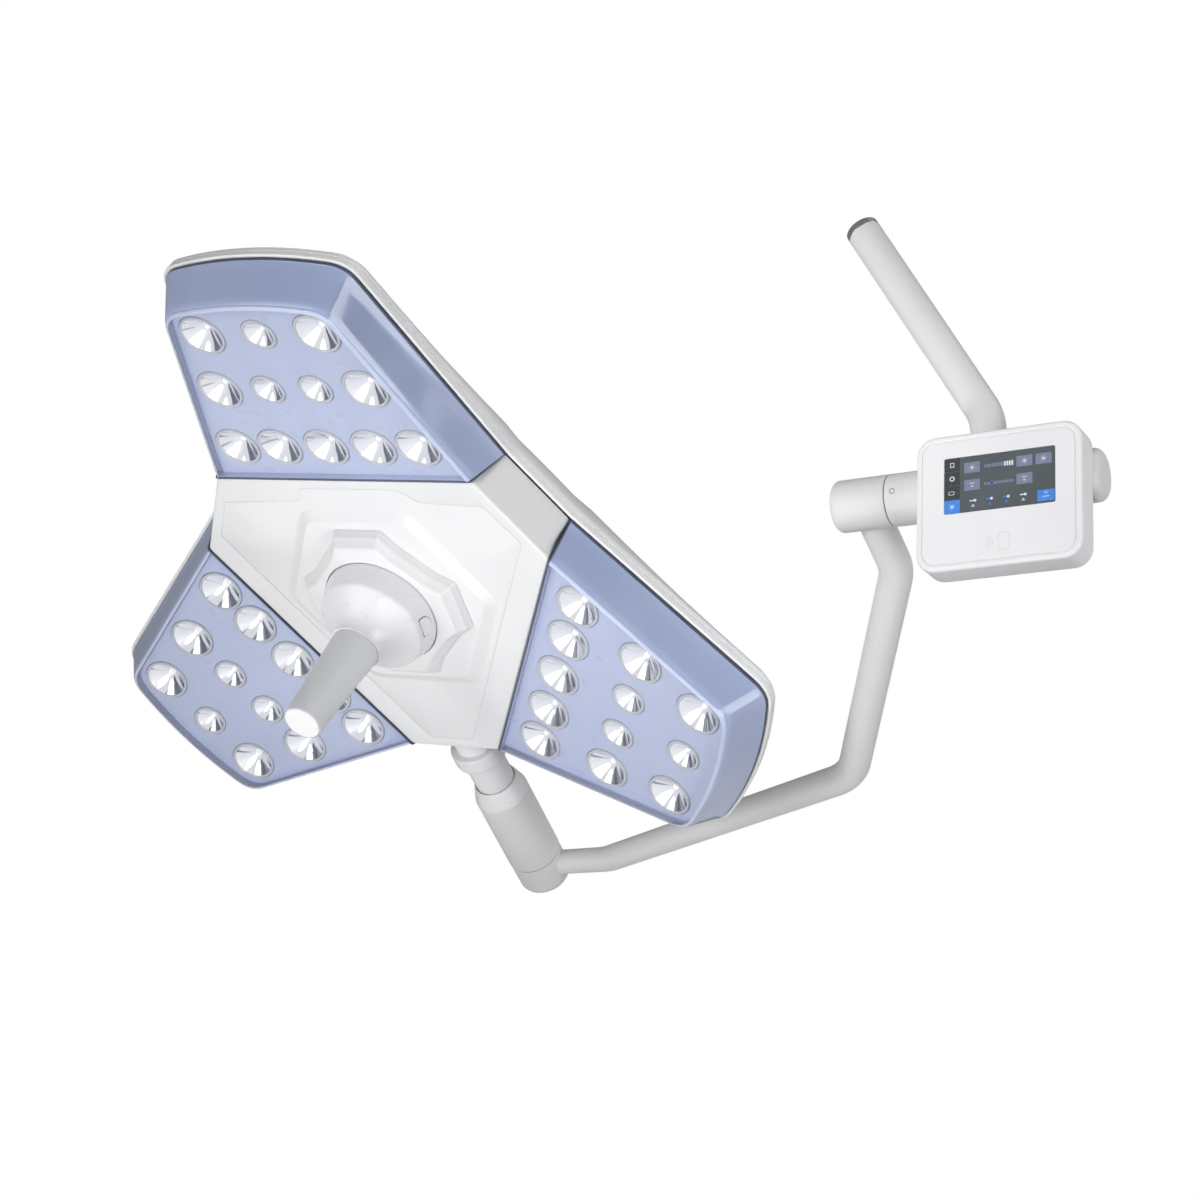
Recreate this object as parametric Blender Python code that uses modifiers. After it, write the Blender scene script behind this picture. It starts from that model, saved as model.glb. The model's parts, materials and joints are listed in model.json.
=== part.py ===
"""Ceiling-hung operating light: three-petal LED head in a two-axis yoke, with a control panel.

Metres, +Z up. The origin is the centre of the flat end face of the drop tube, where the
carrying arm bolts on. +X runs along the horizontal hinge barrel, away from the lamp head,
and the front of the control panel looks along -Y.
"""
import math

import bmesh
import bpy
from mathutils import Matrix, Vector

MM = 0.001
GAP = 0.3 * MM                       # clearance between pieces that touch

# Rest pose of the two-axis suspension, in degrees.
YOKE_SWING = 62.65                   # yoke swung back from hanging, about the horizontal axis
NECK_CANT = 4.03                     # neck axis leans this far off the yoke's own down axis
HEAD_TURN = -7.0                     # head turned on its neck
FACE_TILT = 6.12                     # face leans against the neck axis

# Where things are, from the end face of the drop tube.
GIMBAL = Vector((-437 * MM, 0, -235 * MM))      # crossing of the hinge axis and the neck axis
TUBE_TOP = Vector((437 * MM, 0, 235 * MM))      # arm end of the drop tube, from the gimbal
TUBE_BEND = Vector((544 * MM, 0, 57 * MM))
HEAD_BEHIND = 19.3 * MM                         # head centre from the gimbal
HEAD_BELOW = 35.6 * MM

# Drop tube and horizontal barrel; stations are along X from the gimbal.
TUBE_R = 13.75 * MM
TUBE_WALL = 2.5 * MM
BARREL_R = 20.5 * MM
BARREL_WALL = 3.5 * MM
SLEEVE_START = 421 * MM
BARREL_SEAM = 467 * MM
BARREL_CAP = 627 * MM
BARREL_END = 635 * MM
AXLE_R = 7 * MM
YOKE_JOIN = 446 * MM                 # yoke tube meets the sleeve here
SET_SCREW_AT = 474 * MM

# Control panel, along X and Z from the gimbal; depth is along Y.
PANEL_LEFT, PANEL_RIGHT = 503 * MM, 631 * MM
PANEL_LOW, PANEL_HIGH = -77.5 * MM, 29 * MM
PANEL_FRONT, PANEL_BACK = -45 * MM, -15 * MM
PANEL_CORNER = 15 * MM
PANEL_RIM = 5.3 * MM
SCREEN = (525 * MM, 611 * MM, -34 * MM, 10.4 * MM)

# Yoke tube and the lower barrel; stations are along the neck axis from the gimbal.
YOKE_CORNERS = ((446, 72), (323, 309), (44, 400))
YOKE_END = (-24, 400)
YOKE_BEND_R = 48 * MM
LOWER_R = 25.5 * MM
COLLAR_TOP, COLLAR_LOW = 279 * MM, 299 * MM
CAP_SEAM = 384 * MM
LOWER_END = 421 * MM
NECK_R = 18.5 * MM
NECK_TAIL_R = 12 * MM                # thin end of the neck, clamped inside the head
SPINDLE_R = 9 * MM

# Lamp head: petal outlines in each petal's own plane (u outwards, v across, w to the front).
PETAL_ANGLES = (90, -30, -150)
PETAL_TILT = 9.4
HUB_APOTHEM = 126 * MM               # hub edge that each petal butts against
FACE_W, RIM_W = 6 * MM, -31 * MM     # front face and rim of the clear covers
FACE_HALF_IN, FACE_HALF_OUT, FACE_REACH = 128 * MM, 78 * MM, 324.5 * MM
RIM_HALF_IN, RIM_HALF_OUT, RIM_REACH = 141 * MM, 88 * MM, 341.5 * MM
TIP_ARC_R = 350 * MM
COVER_WALL = 3 * MM
SEAL_T = 2.2 * MM
COVER_START = 3.2 * MM               # clear cover starts this far off the hub edge
SHELL_LIP = 5 * MM                   # rear shell stands out past the cover's rim
SHELL_WALL = 3 * MM

# Optics of one petal: (u, v, radius) of each cup's rim.
BIG_CUP, SMALL_CUP = 20 * MM, 15 * MM
CUP_SIDES = 8
CUP_ROWS = (
    (162 * MM, ((-90, BIG_CUP), (-47, BIG_CUP), (0, BIG_CUP), (47, BIG_CUP), (90, BIG_CUP))),
    (228.8 * MM, ((-72, BIG_CUP), (-23.6, SMALL_CUP), (23.6, SMALL_CUP), (72, BIG_CUP))),
    (290 * MM, ((-56, BIG_CUP), (0, SMALL_CUP), (56, BIG_CUP))),
)
CUP_DEPTH = 20 * MM
MASK_FRONT, MASK_BACK = -1 * MM, -3 * MM
ARRAY_FRONT, ARRAY_BACK = -3.3 * MM, -5.3 * MM
BOARD_FRONT = -20.3 * MM
BOARD_T = 1.6 * MM
SINK_T = 3 * MM

# Hub, nut ring and handle; heights are along the head's front normal.
HUB_FACE = 26 * MM
HUB_RIM = -13.1 * MM
PLATFORM_TOP = 31 * MM
PLATFORM_BASE_R, PLATFORM_TOP_R = 107 * MM, 98 * MM
HUB_WALL = 3 * MM
HUB_HOLE_R = 40 * MM
NUT_TOP = 45 * MM
NUT_HOLE_R = 55.5 * MM
NUT_FLAT, NUT_APOTHEM = 20.5 * MM, 66.5 * MM
NUT_KINK = (29 * MM, 53 * MM)
BASE_LOW, BASE_EDGE = 37 * MM, 65 * MM
BASE_R, BASE_EDGE_R = 52.5 * MM, 47 * MM
BASE_FLARE = ((22.5, 93), (23.3, 88.8), (26, 83.5), (31, 77.8), (37.5, 72.2), (43.5, 67.8))
GRIP_START, GRIP_END = 84 * MM, 188 * MM
GRIP_R, GRIP_TIP_R = 21.2 * MM, 16.5 * MM
BUTTON_ANGLE = -5
BUTTON_TRAVEL = 2.5 * MM

ROUND = 28
SMALL_ROUND = 20


# ---------------------------------------------------------------- materials

def make_material(name, colour, roughness, metallic=0.0, alpha=1.0):
    material = bpy.data.materials.new(name)
    material.use_nodes = True
    shader = material.node_tree.nodes["Principled BSDF"]
    shader.inputs["Base Color"].default_value = (*colour, 1.0)
    shader.inputs["Roughness"].default_value = roughness
    shader.inputs["Metallic"].default_value = metallic
    shader.inputs["Alpha"].default_value = alpha
    material.diffuse_color = (*colour, alpha)
    return material


# ---------------------------------------------------------------- objects

def add_object(name, data, parent, material, location=(0, 0, 0), rotation=(0, 0, 0)):
    """Link a new object into the model's collection, placed in its parent's frame."""
    obj = bpy.data.objects.new(name, data)
    parts.objects.link(obj)
    obj.parent = parent
    obj.location = location
    obj.rotation_euler = [math.radians(a) for a in rotation]
    obj.data.materials.append(material)
    if hasattr(data, "shade_smooth"):
        data.shade_smooth()
        data.set_sharp_from_angle(angle=math.radians(35))
    return obj


def add_frame(name, parent, location=(0, 0, 0), rotation=(0, 0, 0)):
    """An empty that carries the pieces of one moving body or one petal."""
    frame = bpy.data.objects.new(name, None)
    parts.objects.link(frame)
    frame.parent = parent
    frame.location = location
    frame.rotation_euler = [math.radians(a) for a in rotation]
    frame.empty_display_size = 0.05
    return frame


def to_cutter(obj):
    """Move an object to the cutters' collection, out of the model."""
    parts.objects.unlink(obj)
    cutters.objects.link(obj)
    obj.hide_render = True
    obj.display_type = "WIRE"
    return obj


def combine(obj, other, operation):
    """Boolean between an object and a tool, which is kept as a cutter."""
    modifier = obj.modifiers.new(operation.title(), "BOOLEAN")
    modifier.operation = operation
    modifier.object = to_cutter(other)
    return obj


def bevel(obj, width, segments=2, angle=30):
    modifier = obj.modifiers.new("Bevel", "BEVEL")
    modifier.width = width
    modifier.segments = segments
    modifier.limit_method = "ANGLE"
    modifier.angle_limit = math.radians(angle)
    return obj


def solidify(obj, thickness):
    """Give an open surface a wall on its inner side."""
    modifier = obj.modifiers.new("Solidify", "SOLIDIFY")
    modifier.thickness = thickness
    modifier.offset = -1
    modifier.use_even_offset = True
    return obj


# ---------------------------------------------------------------- shapes

def turned(name, profile, parent, material, steps=ROUND, ring=False, **place):
    """Spin a profile of (radius, height), listed down its outer side, about local Z."""
    mesh = bpy.data.meshes.new(name)
    count = len(profile)
    edges = [(i, i + 1) for i in range(count - 1)]
    if ring:
        edges.append((count - 1, 0))
    mesh.from_pydata([(r, 0, z) for r, z in profile], edges, [])
    obj = add_object(name, mesh, parent, material, **place)
    screw = obj.modifiers.new("Screw", "SCREW")
    screw.steps = screw.render_steps = steps
    screw.use_merge_vertices = True
    screw.merge_threshold = 0.00001
    return obj


def rod(name, radius, low, high, parent, material, steps=SMALL_ROUND, **place):
    """Plain solid cylinder along local Z."""
    profile = [(0, high), (radius, high), (radius, low), (0, low)]
    return turned(name, profile, parent, material, steps, **place)


def ring(name, outer, inner, low, high, parent, material, steps=SMALL_ROUND, **place):
    """Plain ring or bush along local Z."""
    profile = [(outer, high), (outer, low), (inner, low), (inner, high)]
    return turned(name, profile, parent, material, steps, ring=True, **place)


def block(name, low, high, parent, material, **place):
    """Box between two corners of its parent's frame."""
    low, high = Vector(low), Vector(high)
    mesh = bpy.data.meshes.new(name)
    bm = bmesh.new()
    bmesh.ops.create_cube(bm, size=1)
    bmesh.ops.scale(bm, vec=high - low, verts=bm.verts)
    bmesh.ops.translate(bm, vec=(low + high) / 2, verts=bm.verts)
    bm.to_mesh(mesh)
    bm.free()
    return add_object(name, mesh, parent, material, **place)


def mesh_from_curve(name, curve, parent, material, **place):
    """Turn a filled curve into a closed mesh piece."""
    temporary = bpy.data.objects.new(name + "_curve", curve)
    bpy.context.scene.collection.objects.link(temporary)
    depsgraph = bpy.context.evaluated_depsgraph_get()
    mesh = bpy.data.meshes.new_from_object(temporary.evaluated_get(depsgraph))
    mesh.name = name
    bm = bmesh.new()
    bm.from_mesh(mesh)
    bmesh.ops.remove_doubles(bm, verts=bm.verts, dist=0.00001)
    bm.to_mesh(mesh)
    bm.free()
    mesh.materials.clear()
    obj = add_object(name, mesh, parent, material, **place)
    bpy.data.objects.remove(temporary)
    return obj


def plate(name, outline, holes, low, high, parent, material, **place):
    """Flat plate with holes, between two heights of its parent's frame."""
    curve = bpy.data.curves.new(name, "CURVE")
    curve.dimensions = "2D"
    curve.fill_mode = "BOTH"
    curve.extrude = (high - low) / 2
    for loop in (outline, *holes):
        spline = curve.splines.new("POLY")
        spline.points.add(len(loop) - 1)
        for point, (x, y) in zip(spline.points, loop):
            point.co = (x, y, 0, 1)
        spline.use_cyclic_u = True
    obj = mesh_from_curve(name, curve, parent, material, **place)
    obj.data.transform(Matrix.Translation((0, 0, (low + high) / 2)))
    return obj


def tube(name, route, radii, parent, material, resolution=6, **place):
    """Round bar along a route of points, with filled ends."""
    curve = bpy.data.curves.new(name, "CURVE")
    curve.dimensions = "3D"
    curve.fill_mode = "FULL"
    curve.bevel_depth = 1.0
    curve.bevel_resolution = resolution
    curve.use_fill_caps = True
    spline = curve.splines.new("POLY")
    spline.points.add(len(route) - 1)
    for point, position, radius in zip(spline.points, route, radii):
        point.co = (*position, 1)
        point.radius = radius
    return mesh_from_curve(name, curve, parent, material, **place)


def loft(name, rings, parent, material, cap_start=False, cap_end=False, closed=False, **place):
    """Skin a row of loops that have the same number of points, with optional end faces."""
    mesh = bpy.data.meshes.new(name)
    bm = bmesh.new()
    loops = [[bm.verts.new(p) for p in loop] for loop in rings]
    pairs = list(zip(loops, loops[1:]))
    if closed:
        pairs.append((loops[-1], loops[0]))
    for first, second in pairs:
        for i in range(len(first)):
            j = (i + 1) % len(first)
            bm.faces.new((first[i], first[j], second[j], second[i]))
    if cap_start:
        bm.faces.new(loops[0][::-1])
    if cap_end:
        bm.faces.new(loops[-1])
    bm.to_mesh(mesh)
    bm.free()
    return add_object(name, mesh, parent, material, **place)


def circle(radius, count, centre=(0, 0)):
    return [(centre[0] - radius * math.sin(2 * math.pi * i / count),
             centre[1] + radius * math.cos(2 * math.pi * i / count)) for i in range(count)]


def rounded_box(left, right, low, high, radius, steps=4):
    """Outline of a rectangle with round corners."""
    outline = []
    centres = ((right - radius, high - radius), (left + radius, high - radius),
               (left + radius, low + radius), (right - radius, low + radius))
    for quarter, (x, y) in enumerate(centres):
        for i in range(steps + 1):
            angle = math.pi / 2 * (quarter + i / steps)
            outline.append((x + radius * math.cos(angle), y + radius * math.sin(angle)))
    return outline


def rounded_route(corners, start, end, radius, steps=6):
    """Points of a bent tube: straight runs joined by arcs at the corners."""
    points = [Vector(start)]
    stops = [Vector(start), *map(Vector, corners), Vector(end)]
    for before, corner, after in zip(stops, stops[1:], stops[2:]):
        back, ahead = (before - corner).normalized(), (after - corner).normalized()
        half = back.angle(ahead) / 2
        reach = radius / math.tan(half)
        centre = corner + (back + ahead).normalized() * (radius / math.sin(half))
        first = corner + back * reach - centre
        last = corner + ahead * reach - centre
        sweep = first.angle(last)
        for i in range(steps + 1):
            t = i / steps * sweep
            points.append(centre + (first * math.sin(sweep - t) + last * math.sin(t)) / math.sin(sweep))
    points.append(Vector(end))
    return points


# ---------------------------------------------------------------- petal outlines

def hub_edge(w):
    """Distance along a petal's plane, at height w, to the hub's upright edge."""
    tilt = math.radians(PETAL_TILT)
    return (HUB_APOTHEM + w * math.sin(tilt)) / math.cos(tilt)


def petal_sides(half_in, half_out, reach, inset, corner=12 * MM):
    """One petal's outline from hub edge to hub edge, as (u, v), moved in by an inset."""
    corner_u = reach - half_out ** 2 / (2 * TIP_ARC_R)
    side = Vector((corner_u - HUB_APOTHEM, half_out - half_in)).normalized()
    shift = inset / side.x
    reach -= inset

    def v_at(u):
        return half_in - shift + side.y / side.x * (u - HUB_APOTHEM)

    def arc_u(v):
        return reach - v ** 2 / (2 * TIP_ARC_R)

    tip_v = v_at(corner_u - inset)
    tip = Vector((arc_u(tip_v), tip_v))
    on_side = tip - side * corner
    on_arc = Vector((arc_u(tip_v - corner), tip_v - corner))
    half = []
    for i in range(4):
        t = i / 3
        half.append(on_side * (1 - t) ** 2 + tip * 2 * t * (1 - t) + on_arc * t ** 2)
    arc = [Vector((arc_u(v), v)) for v in (on_arc.y * f for f in (0.66, 0.33, 0, -0.33, -0.66))]
    upper = [(p.x, p.y) for p in half]
    lower = [(u, -v) for u, v in reversed(upper)]
    return v_at, upper + [(p.x, p.y) for p in arc] + lower


def petal_outline(half_in, half_out, reach, inset, w, hub_gap):
    """Closed outline of one petal at height w, starting and ending on the hub side."""
    v_at, outer = petal_sides(half_in, half_out, reach, inset)
    u = hub_edge(w) + hub_gap
    return [(u, v_at(u)), *outer, (u, -v_at(u))]


def face_outline(inset, w, hub_gap):
    return petal_outline(FACE_HALF_IN, FACE_HALF_OUT, FACE_REACH, inset, w, hub_gap)


def rim_outline(inset, w, hub_gap):
    return petal_outline(RIM_HALF_IN, RIM_HALF_OUT, RIM_REACH, inset, w, hub_gap)


def cup_places():
    return [(u, v * MM, radius) for u, row in CUP_ROWS for v, radius in row]


def cup_group(name, low, high, radius_low, radius_high, parent, material, sides=CUP_SIDES):
    """Cones on every cup's axis in one mesh; the end radii follow from the cup's radius."""
    mesh = bpy.data.meshes.new(name)
    bm = bmesh.new()
    for u, v, radius in cup_places():
        at = Matrix.Translation((u, v, (low + high) / 2))
        bmesh.ops.create_cone(bm, cap_ends=True, segments=sides, depth=high - low, matrix=at,
                              radius1=radius_low(radius), radius2=radius_high(radius))
    bm.to_mesh(mesh)
    bm.free()
    return add_object(name, mesh, parent, material)


# ---------------------------------------------------------------- petals

def build_cover(tag, frame):
    """Clear petal cover: a flat face with sloping walls on three sides, open to the hub."""
    levels = (
        (rim_outline(0.5 * MM, RIM_W + 1.3 * MM, COVER_START), RIM_W + 1.3 * MM),
        (face_outline(-1.2 * MM, FACE_W - 3 * MM, COVER_START), FACE_W - 3 * MM),
        (face_outline(0, FACE_W, COVER_START), FACE_W),
    )
    mesh = bpy.data.meshes.new("lens_cover" + tag)
    bm = bmesh.new()
    rows = [[bm.verts.new((u, v, w)) for u, v in outline] for outline, w in levels]
    for low, high in zip(rows, rows[1:]):
        for i in range(len(low) - 1):
            bm.faces.new((low[i], low[i + 1], high[i + 1], high[i]))
    bm.faces.new(rows[-1])
    bmesh.ops.recalc_face_normals(bm, faces=bm.faces)
    if rows[-1][0].link_faces[-1].normal.z < 0:
        bmesh.ops.reverse_faces(bm, faces=bm.faces)
    bm.to_mesh(mesh)
    bm.free()
    obj = add_object("lens_cover" + tag, mesh, frame, cover_blue)
    return solidify(obj, COVER_WALL)


def build_seal(tag, frame):
    """Dark gasket: a flat frame under the cover's rim and an upright strip along the hub."""
    low, high = RIM_W - GAP - SEAL_T, RIM_W - GAP
    outer = rim_outline(0, low, GAP)
    inner = rim_outline(7 * MM, low, 9 * MM)
    seal = plate("cover_seal" + tag, outer, [inner], low, high, frame, seal_grey)
    half_low = rim_outline(0, high, GAP)[0][1]
    half_high = face_outline(0, FACE_W, GAP)[0][1]
    section = [(half_high, FACE_W), (half_low, high - GAP), (-half_low, high - GAP),
               (-half_high, FACE_W)]
    rings = []
    for start in (GAP, SEAL_T):
        rings.append([(hub_edge(w) + start, v, w) for v, w in section])
    strip = loft("seal_strip" + tag, rings, frame, seal_grey, cap_start=True, cap_end=True)
    fix_normals(strip)
    return combine(seal, strip, "UNION")


def build_optics(tag, frame):
    """Blue mask, chrome cups and the LED board behind them."""
    outline = face_outline(1.2 * MM, MASK_BACK, 3.2 * MM)
    holes = [circle(r + 0.4 * MM, CUP_SIDES, (u, v)) for u, v, r in cup_places()]
    plate("led_mask" + tag, outline, holes, MASK_BACK, MASK_FRONT, frame, mask_blue)

    array = plate("reflector_array" + tag, outline, [], ARRAY_BACK, ARRAY_FRONT, frame, chrome)
    bodies = cup_group("cup_body" + tag, -CUP_DEPTH, 0, lambda r: r * 0.35 + 3 * MM,
                       lambda r: r, frame, chrome)
    combine(array, bodies, "UNION")
    hollows = cup_group("cup_hollow" + tag, -CUP_DEPTH - 2 * MM, 0.5 * MM,
                        lambda r: r * 0.2 + 1.5 * MM, lambda r: r - 1.6 * MM, frame, chrome)
    combine(array, hollows, "DIFFERENCE")

    board_outline = face_outline(6 * MM, MASK_BACK, 6 * MM)
    board = plate("led_board" + tag, board_outline, [], BOARD_FRONT - BOARD_T, BOARD_FRONT,
                  frame, board_green)
    leds = cup_group("led_chips" + tag, BOARD_FRONT - BOARD_T / 2, BOARD_FRONT + 2 * MM,
                     lambda r: 3 * MM, lambda r: 3 * MM, frame, board_green, sides=4)
    combine(board, leds, "UNION")


def build_heat_sink(tag, frame):
    """Finned aluminium plate that the LED board is screwed to."""
    high = BOARD_FRONT - BOARD_T - GAP
    outline = face_outline(8 * MM, MASK_BACK, 8 * MM)
    sink = plate("heat_sink" + tag, outline, [], high - SINK_T, high, frame, aluminium)
    mesh = bpy.data.meshes.new("fins" + tag)
    bm = bmesh.new()
    for i in range(7):
        v = (i - 3) * 18 * MM
        size = Matrix.Diagonal((130 * MM, 2 * MM, 12 * MM, 1))
        at = Matrix.Translation((225 * MM, v, high - SINK_T - 5 * MM))
        bmesh.ops.create_cube(bm, size=1, matrix=at @ size)
    bm.to_mesh(mesh)
    bm.free()
    fins = add_object("fins" + tag, mesh, frame, aluminium)
    combine(sink, fins, "UNION")


def build_petals(head):
    for number, angle in enumerate(PETAL_ANGLES, 1):
        tag = f"_{number}"
        frame = add_frame("petal" + tag, head, rotation=(0, -PETAL_TILT, angle))
        build_cover(tag, frame)
        build_seal(tag, frame)
        build_optics(tag, frame)
        build_heat_sink(tag, frame)


# ---------------------------------------------------------------- head body

def fix_normals(obj):
    bm = bmesh.new()
    bm.from_mesh(obj.data)
    bmesh.ops.recalc_face_normals(bm, faces=bm.faces)
    bm.to_mesh(obj.data)
    bm.free()
    return obj


def petal_distance(x, y):
    """How far a point of the head lies out along its nearest petal's axis."""
    return max(x * math.cos(math.radians(a)) + y * math.sin(math.radians(a)) for a in PETAL_ANGLES)


def head_outline(offset):
    """Outline of the whole head at the cover's rim, moved out by an offset, as (x, y)."""
    points = []
    for angle in PETAL_ANGLES[::-1]:
        turn = Matrix.Rotation(math.radians(angle), 2)
        v_at, outer = petal_sides(RIM_HALF_IN, RIM_HALF_OUT, RIM_REACH, -offset)
        middle_u = (HUB_APOTHEM + outer[0][0]) / 2
        side = [(HUB_APOTHEM, v_at(HUB_APOTHEM)), (middle_u, v_at(middle_u))]
        mirror = [(u, -v) for u, v in reversed(side)]
        points += [turn @ Vector(p) for p in reversed(side + outer + mirror)]
    return points


def build_rear_shell(head):
    """White back of the head: upright lip, rounded shoulder and a shallow dome over the hub."""
    top = HUB_RIM - GAP
    rise = math.tan(math.radians(PETAL_TILT))
    outline = head_outline(SHELL_LIP)
    rings = []
    for scale, wall, fullness in ((1, 0, 0), (0.995, 9, 0), (0.975, 12, 0.25), (0.93, 12, 0.55),
                                  (0.82, 12, 0.82), (0.6, 12, 0.95), (0.3, 12, 1)):
        loop = []
        for point in outline:
            x, y = point * scale
            reach = math.hypot(x, y)
            bulge = 12 * MM + 36 * MM / (1 + (reach / (215 * MM)) ** 6)
            z = top + rise * max(0, petal_distance(x, y) - HUB_APOTHEM)
            loop.append((x, y, z - wall * MM - fullness * bulge))
        rings.append(loop)
    shell = loft("rear_shell", rings, head, shell_white, cap_end=True)
    fix_normals(shell)
    solidify(shell, SHELL_WALL)
    combine(shell, neck_cutter("shell_neck_hole"), "DIFFERENCE")
    turned("rear_cap", [(0, -73.8 * MM), (40 * MM, -73.8 * MM), (42 * MM, -76 * MM), (38 * MM, -79 * MM),
                        (0, -79 * MM)], head, trim_grey, SMALL_ROUND)


def polygon_radius(apothem_of, angle):
    """Distance from the centre to a convex outline given by (apothem, edge direction)."""
    reach = []
    for apothem, direction in apothem_of:
        lean = math.cos(math.radians(angle - direction))
        if lean > 0.05:
            reach.append(apothem / lean)
    return min(reach)


def hub_angles():
    """Directions that catch every corner of the hub and of its hexagonal platform."""
    corner = math.degrees(math.atan2(FACE_HALF_IN, HUB_APOTHEM))
    steps = (-corner, -30, -15, 0, 15, 30, corner, 60)
    return [petal + step for petal in (90, 210, 330) for step in steps]


def hub_edges(half):
    """Hub outline: three petal edges and three short edges, with its corners at +-half."""
    upright = HUB_APOTHEM - GAP
    corner = math.hypot(upright, half)
    swing = math.atan2(half, upright)
    short = corner * math.cos(math.radians(60) - swing)
    return [(upright, a) for a in (90, 210, 330)] + [(short, a) for a in (30, 150, 270)]


def build_hub_cover(head):
    """White hub moulding: sloping side walls, flat face and a raised hexagonal platform."""
    hexagon = math.cos(math.radians(30))
    levels = (
        (hub_edges(RIM_HALF_IN - 0.5 * MM), HUB_RIM),
        (hub_edges(FACE_HALF_IN + 1 * MM), HUB_FACE - 2.5 * MM),
        (hub_edges(FACE_HALF_IN), HUB_FACE),
        ([(PLATFORM_BASE_R * hexagon, a) for a in range(30, 390, 60)], HUB_FACE),
        ([(PLATFORM_TOP_R * hexagon, a) for a in range(30, 390, 60)], PLATFORM_TOP),
        ([(HUB_HOLE_R, a) for a in range(0, 360, 15)], PLATFORM_TOP),
    )
    rings = []
    for edges, height in levels:
        loop = []
        for angle in hub_angles():
            reach = polygon_radius(edges, angle)
            x, y = math.cos(math.radians(angle)), math.sin(math.radians(angle))
            loop.append((reach * x, reach * y, height))
        rings.append(loop)
    cover = loft("hub_cover", rings, head, shell_white)
    fix_normals(cover)
    solidify(cover, HUB_WALL)
    combine(cover, neck_cutter("hub_neck_hole"), "DIFFERENCE")


def nut_outline(scale, height):
    """Four short flats joined by long, slightly hollow sides."""
    kink_x, kink_y = NUT_KINK
    quarter = [(-NUT_FLAT, NUT_APOTHEM), (-kink_x, kink_y), (-kink_y, kink_x),
               (-NUT_APOTHEM, NUT_FLAT)]
    loop = []
    for i in range(4):
        turn = Matrix.Rotation(math.radians(90 * i), 2)
        loop += [(*(turn @ Vector(p) * scale), height) for p in quarter]
    return loop


def build_nut_ring(head):
    """Faceted ring that clamps the handle bearing to the hub."""
    low = PLATFORM_TOP + GAP
    sections = [nut_outline(1.17, low), nut_outline(1.13, low + 5 * MM), nut_outline(1.03, NUT_TOP - MM),
                nut_outline(1.0, NUT_TOP)]
    outer = sections[-1]
    hole = [(*(Vector((x, y)).normalized() * NUT_HOLE_R), 0) for x, y, _ in outer]
    sections.append([(x, y, NUT_TOP) for x, y, _ in hole])
    sections.append([(x, y, low) for x, y, _ in hole])
    fix_normals(loft("nut_ring", sections, head, shell_white, closed=True))


def neck_cutter(name):
    """Clearance hole along the neck axis through the side of the head."""
    bore = NECK_R + GAP
    tail = NECK_TAIL_R + GAP
    profile = [(0, -140 * MM), (tail, -140 * MM), (tail, -181 * MM), (bore, -181 * MM), (bore, -240 * MM),
               (0, -240 * MM)]
    return turned(name, profile, turn_frame, steel, ROUND)


def build_head_inside(head):
    """Chassis plate, neck clamp block, lamp driver and the handle's bearing."""
    arms = []
    for angle in (90, 210, 330):
        for reach, offset in ((55, -62), (118, -24), (118, 24), (55, 62)):
            turn = Matrix.Rotation(math.radians(angle), 2)
            arms.append(turn @ Vector((reach * MM, offset * MM)))
    plate("centre_frame", arms, [circle(30 * MM, 16)], -34 * MM, -28 * MM, head, aluminium)
    clamp = block("neck_clamp", (-30 * MM, -144 * MM, -27.7 * MM), (30 * MM, -110 * MM, 16 * MM),
                  head, aluminium)
    combine(clamp, neck_cutter("clamp_bore"), "DIFFERENCE")
    board = rounded_box(-72 * MM, 72 * MM, -52 * MM, 62 * MM, 8 * MM, 2)
    plate("driver_board", board, [circle(34 * MM, 16)], -12 * MM, -10.4 * MM, head, board_green)
    ring("handle_bearing", 46 * MM, 14 * MM, 8.7 * MM, 22.7 * MM, head, steel)


# ---------------------------------------------------------------- handle

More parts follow.
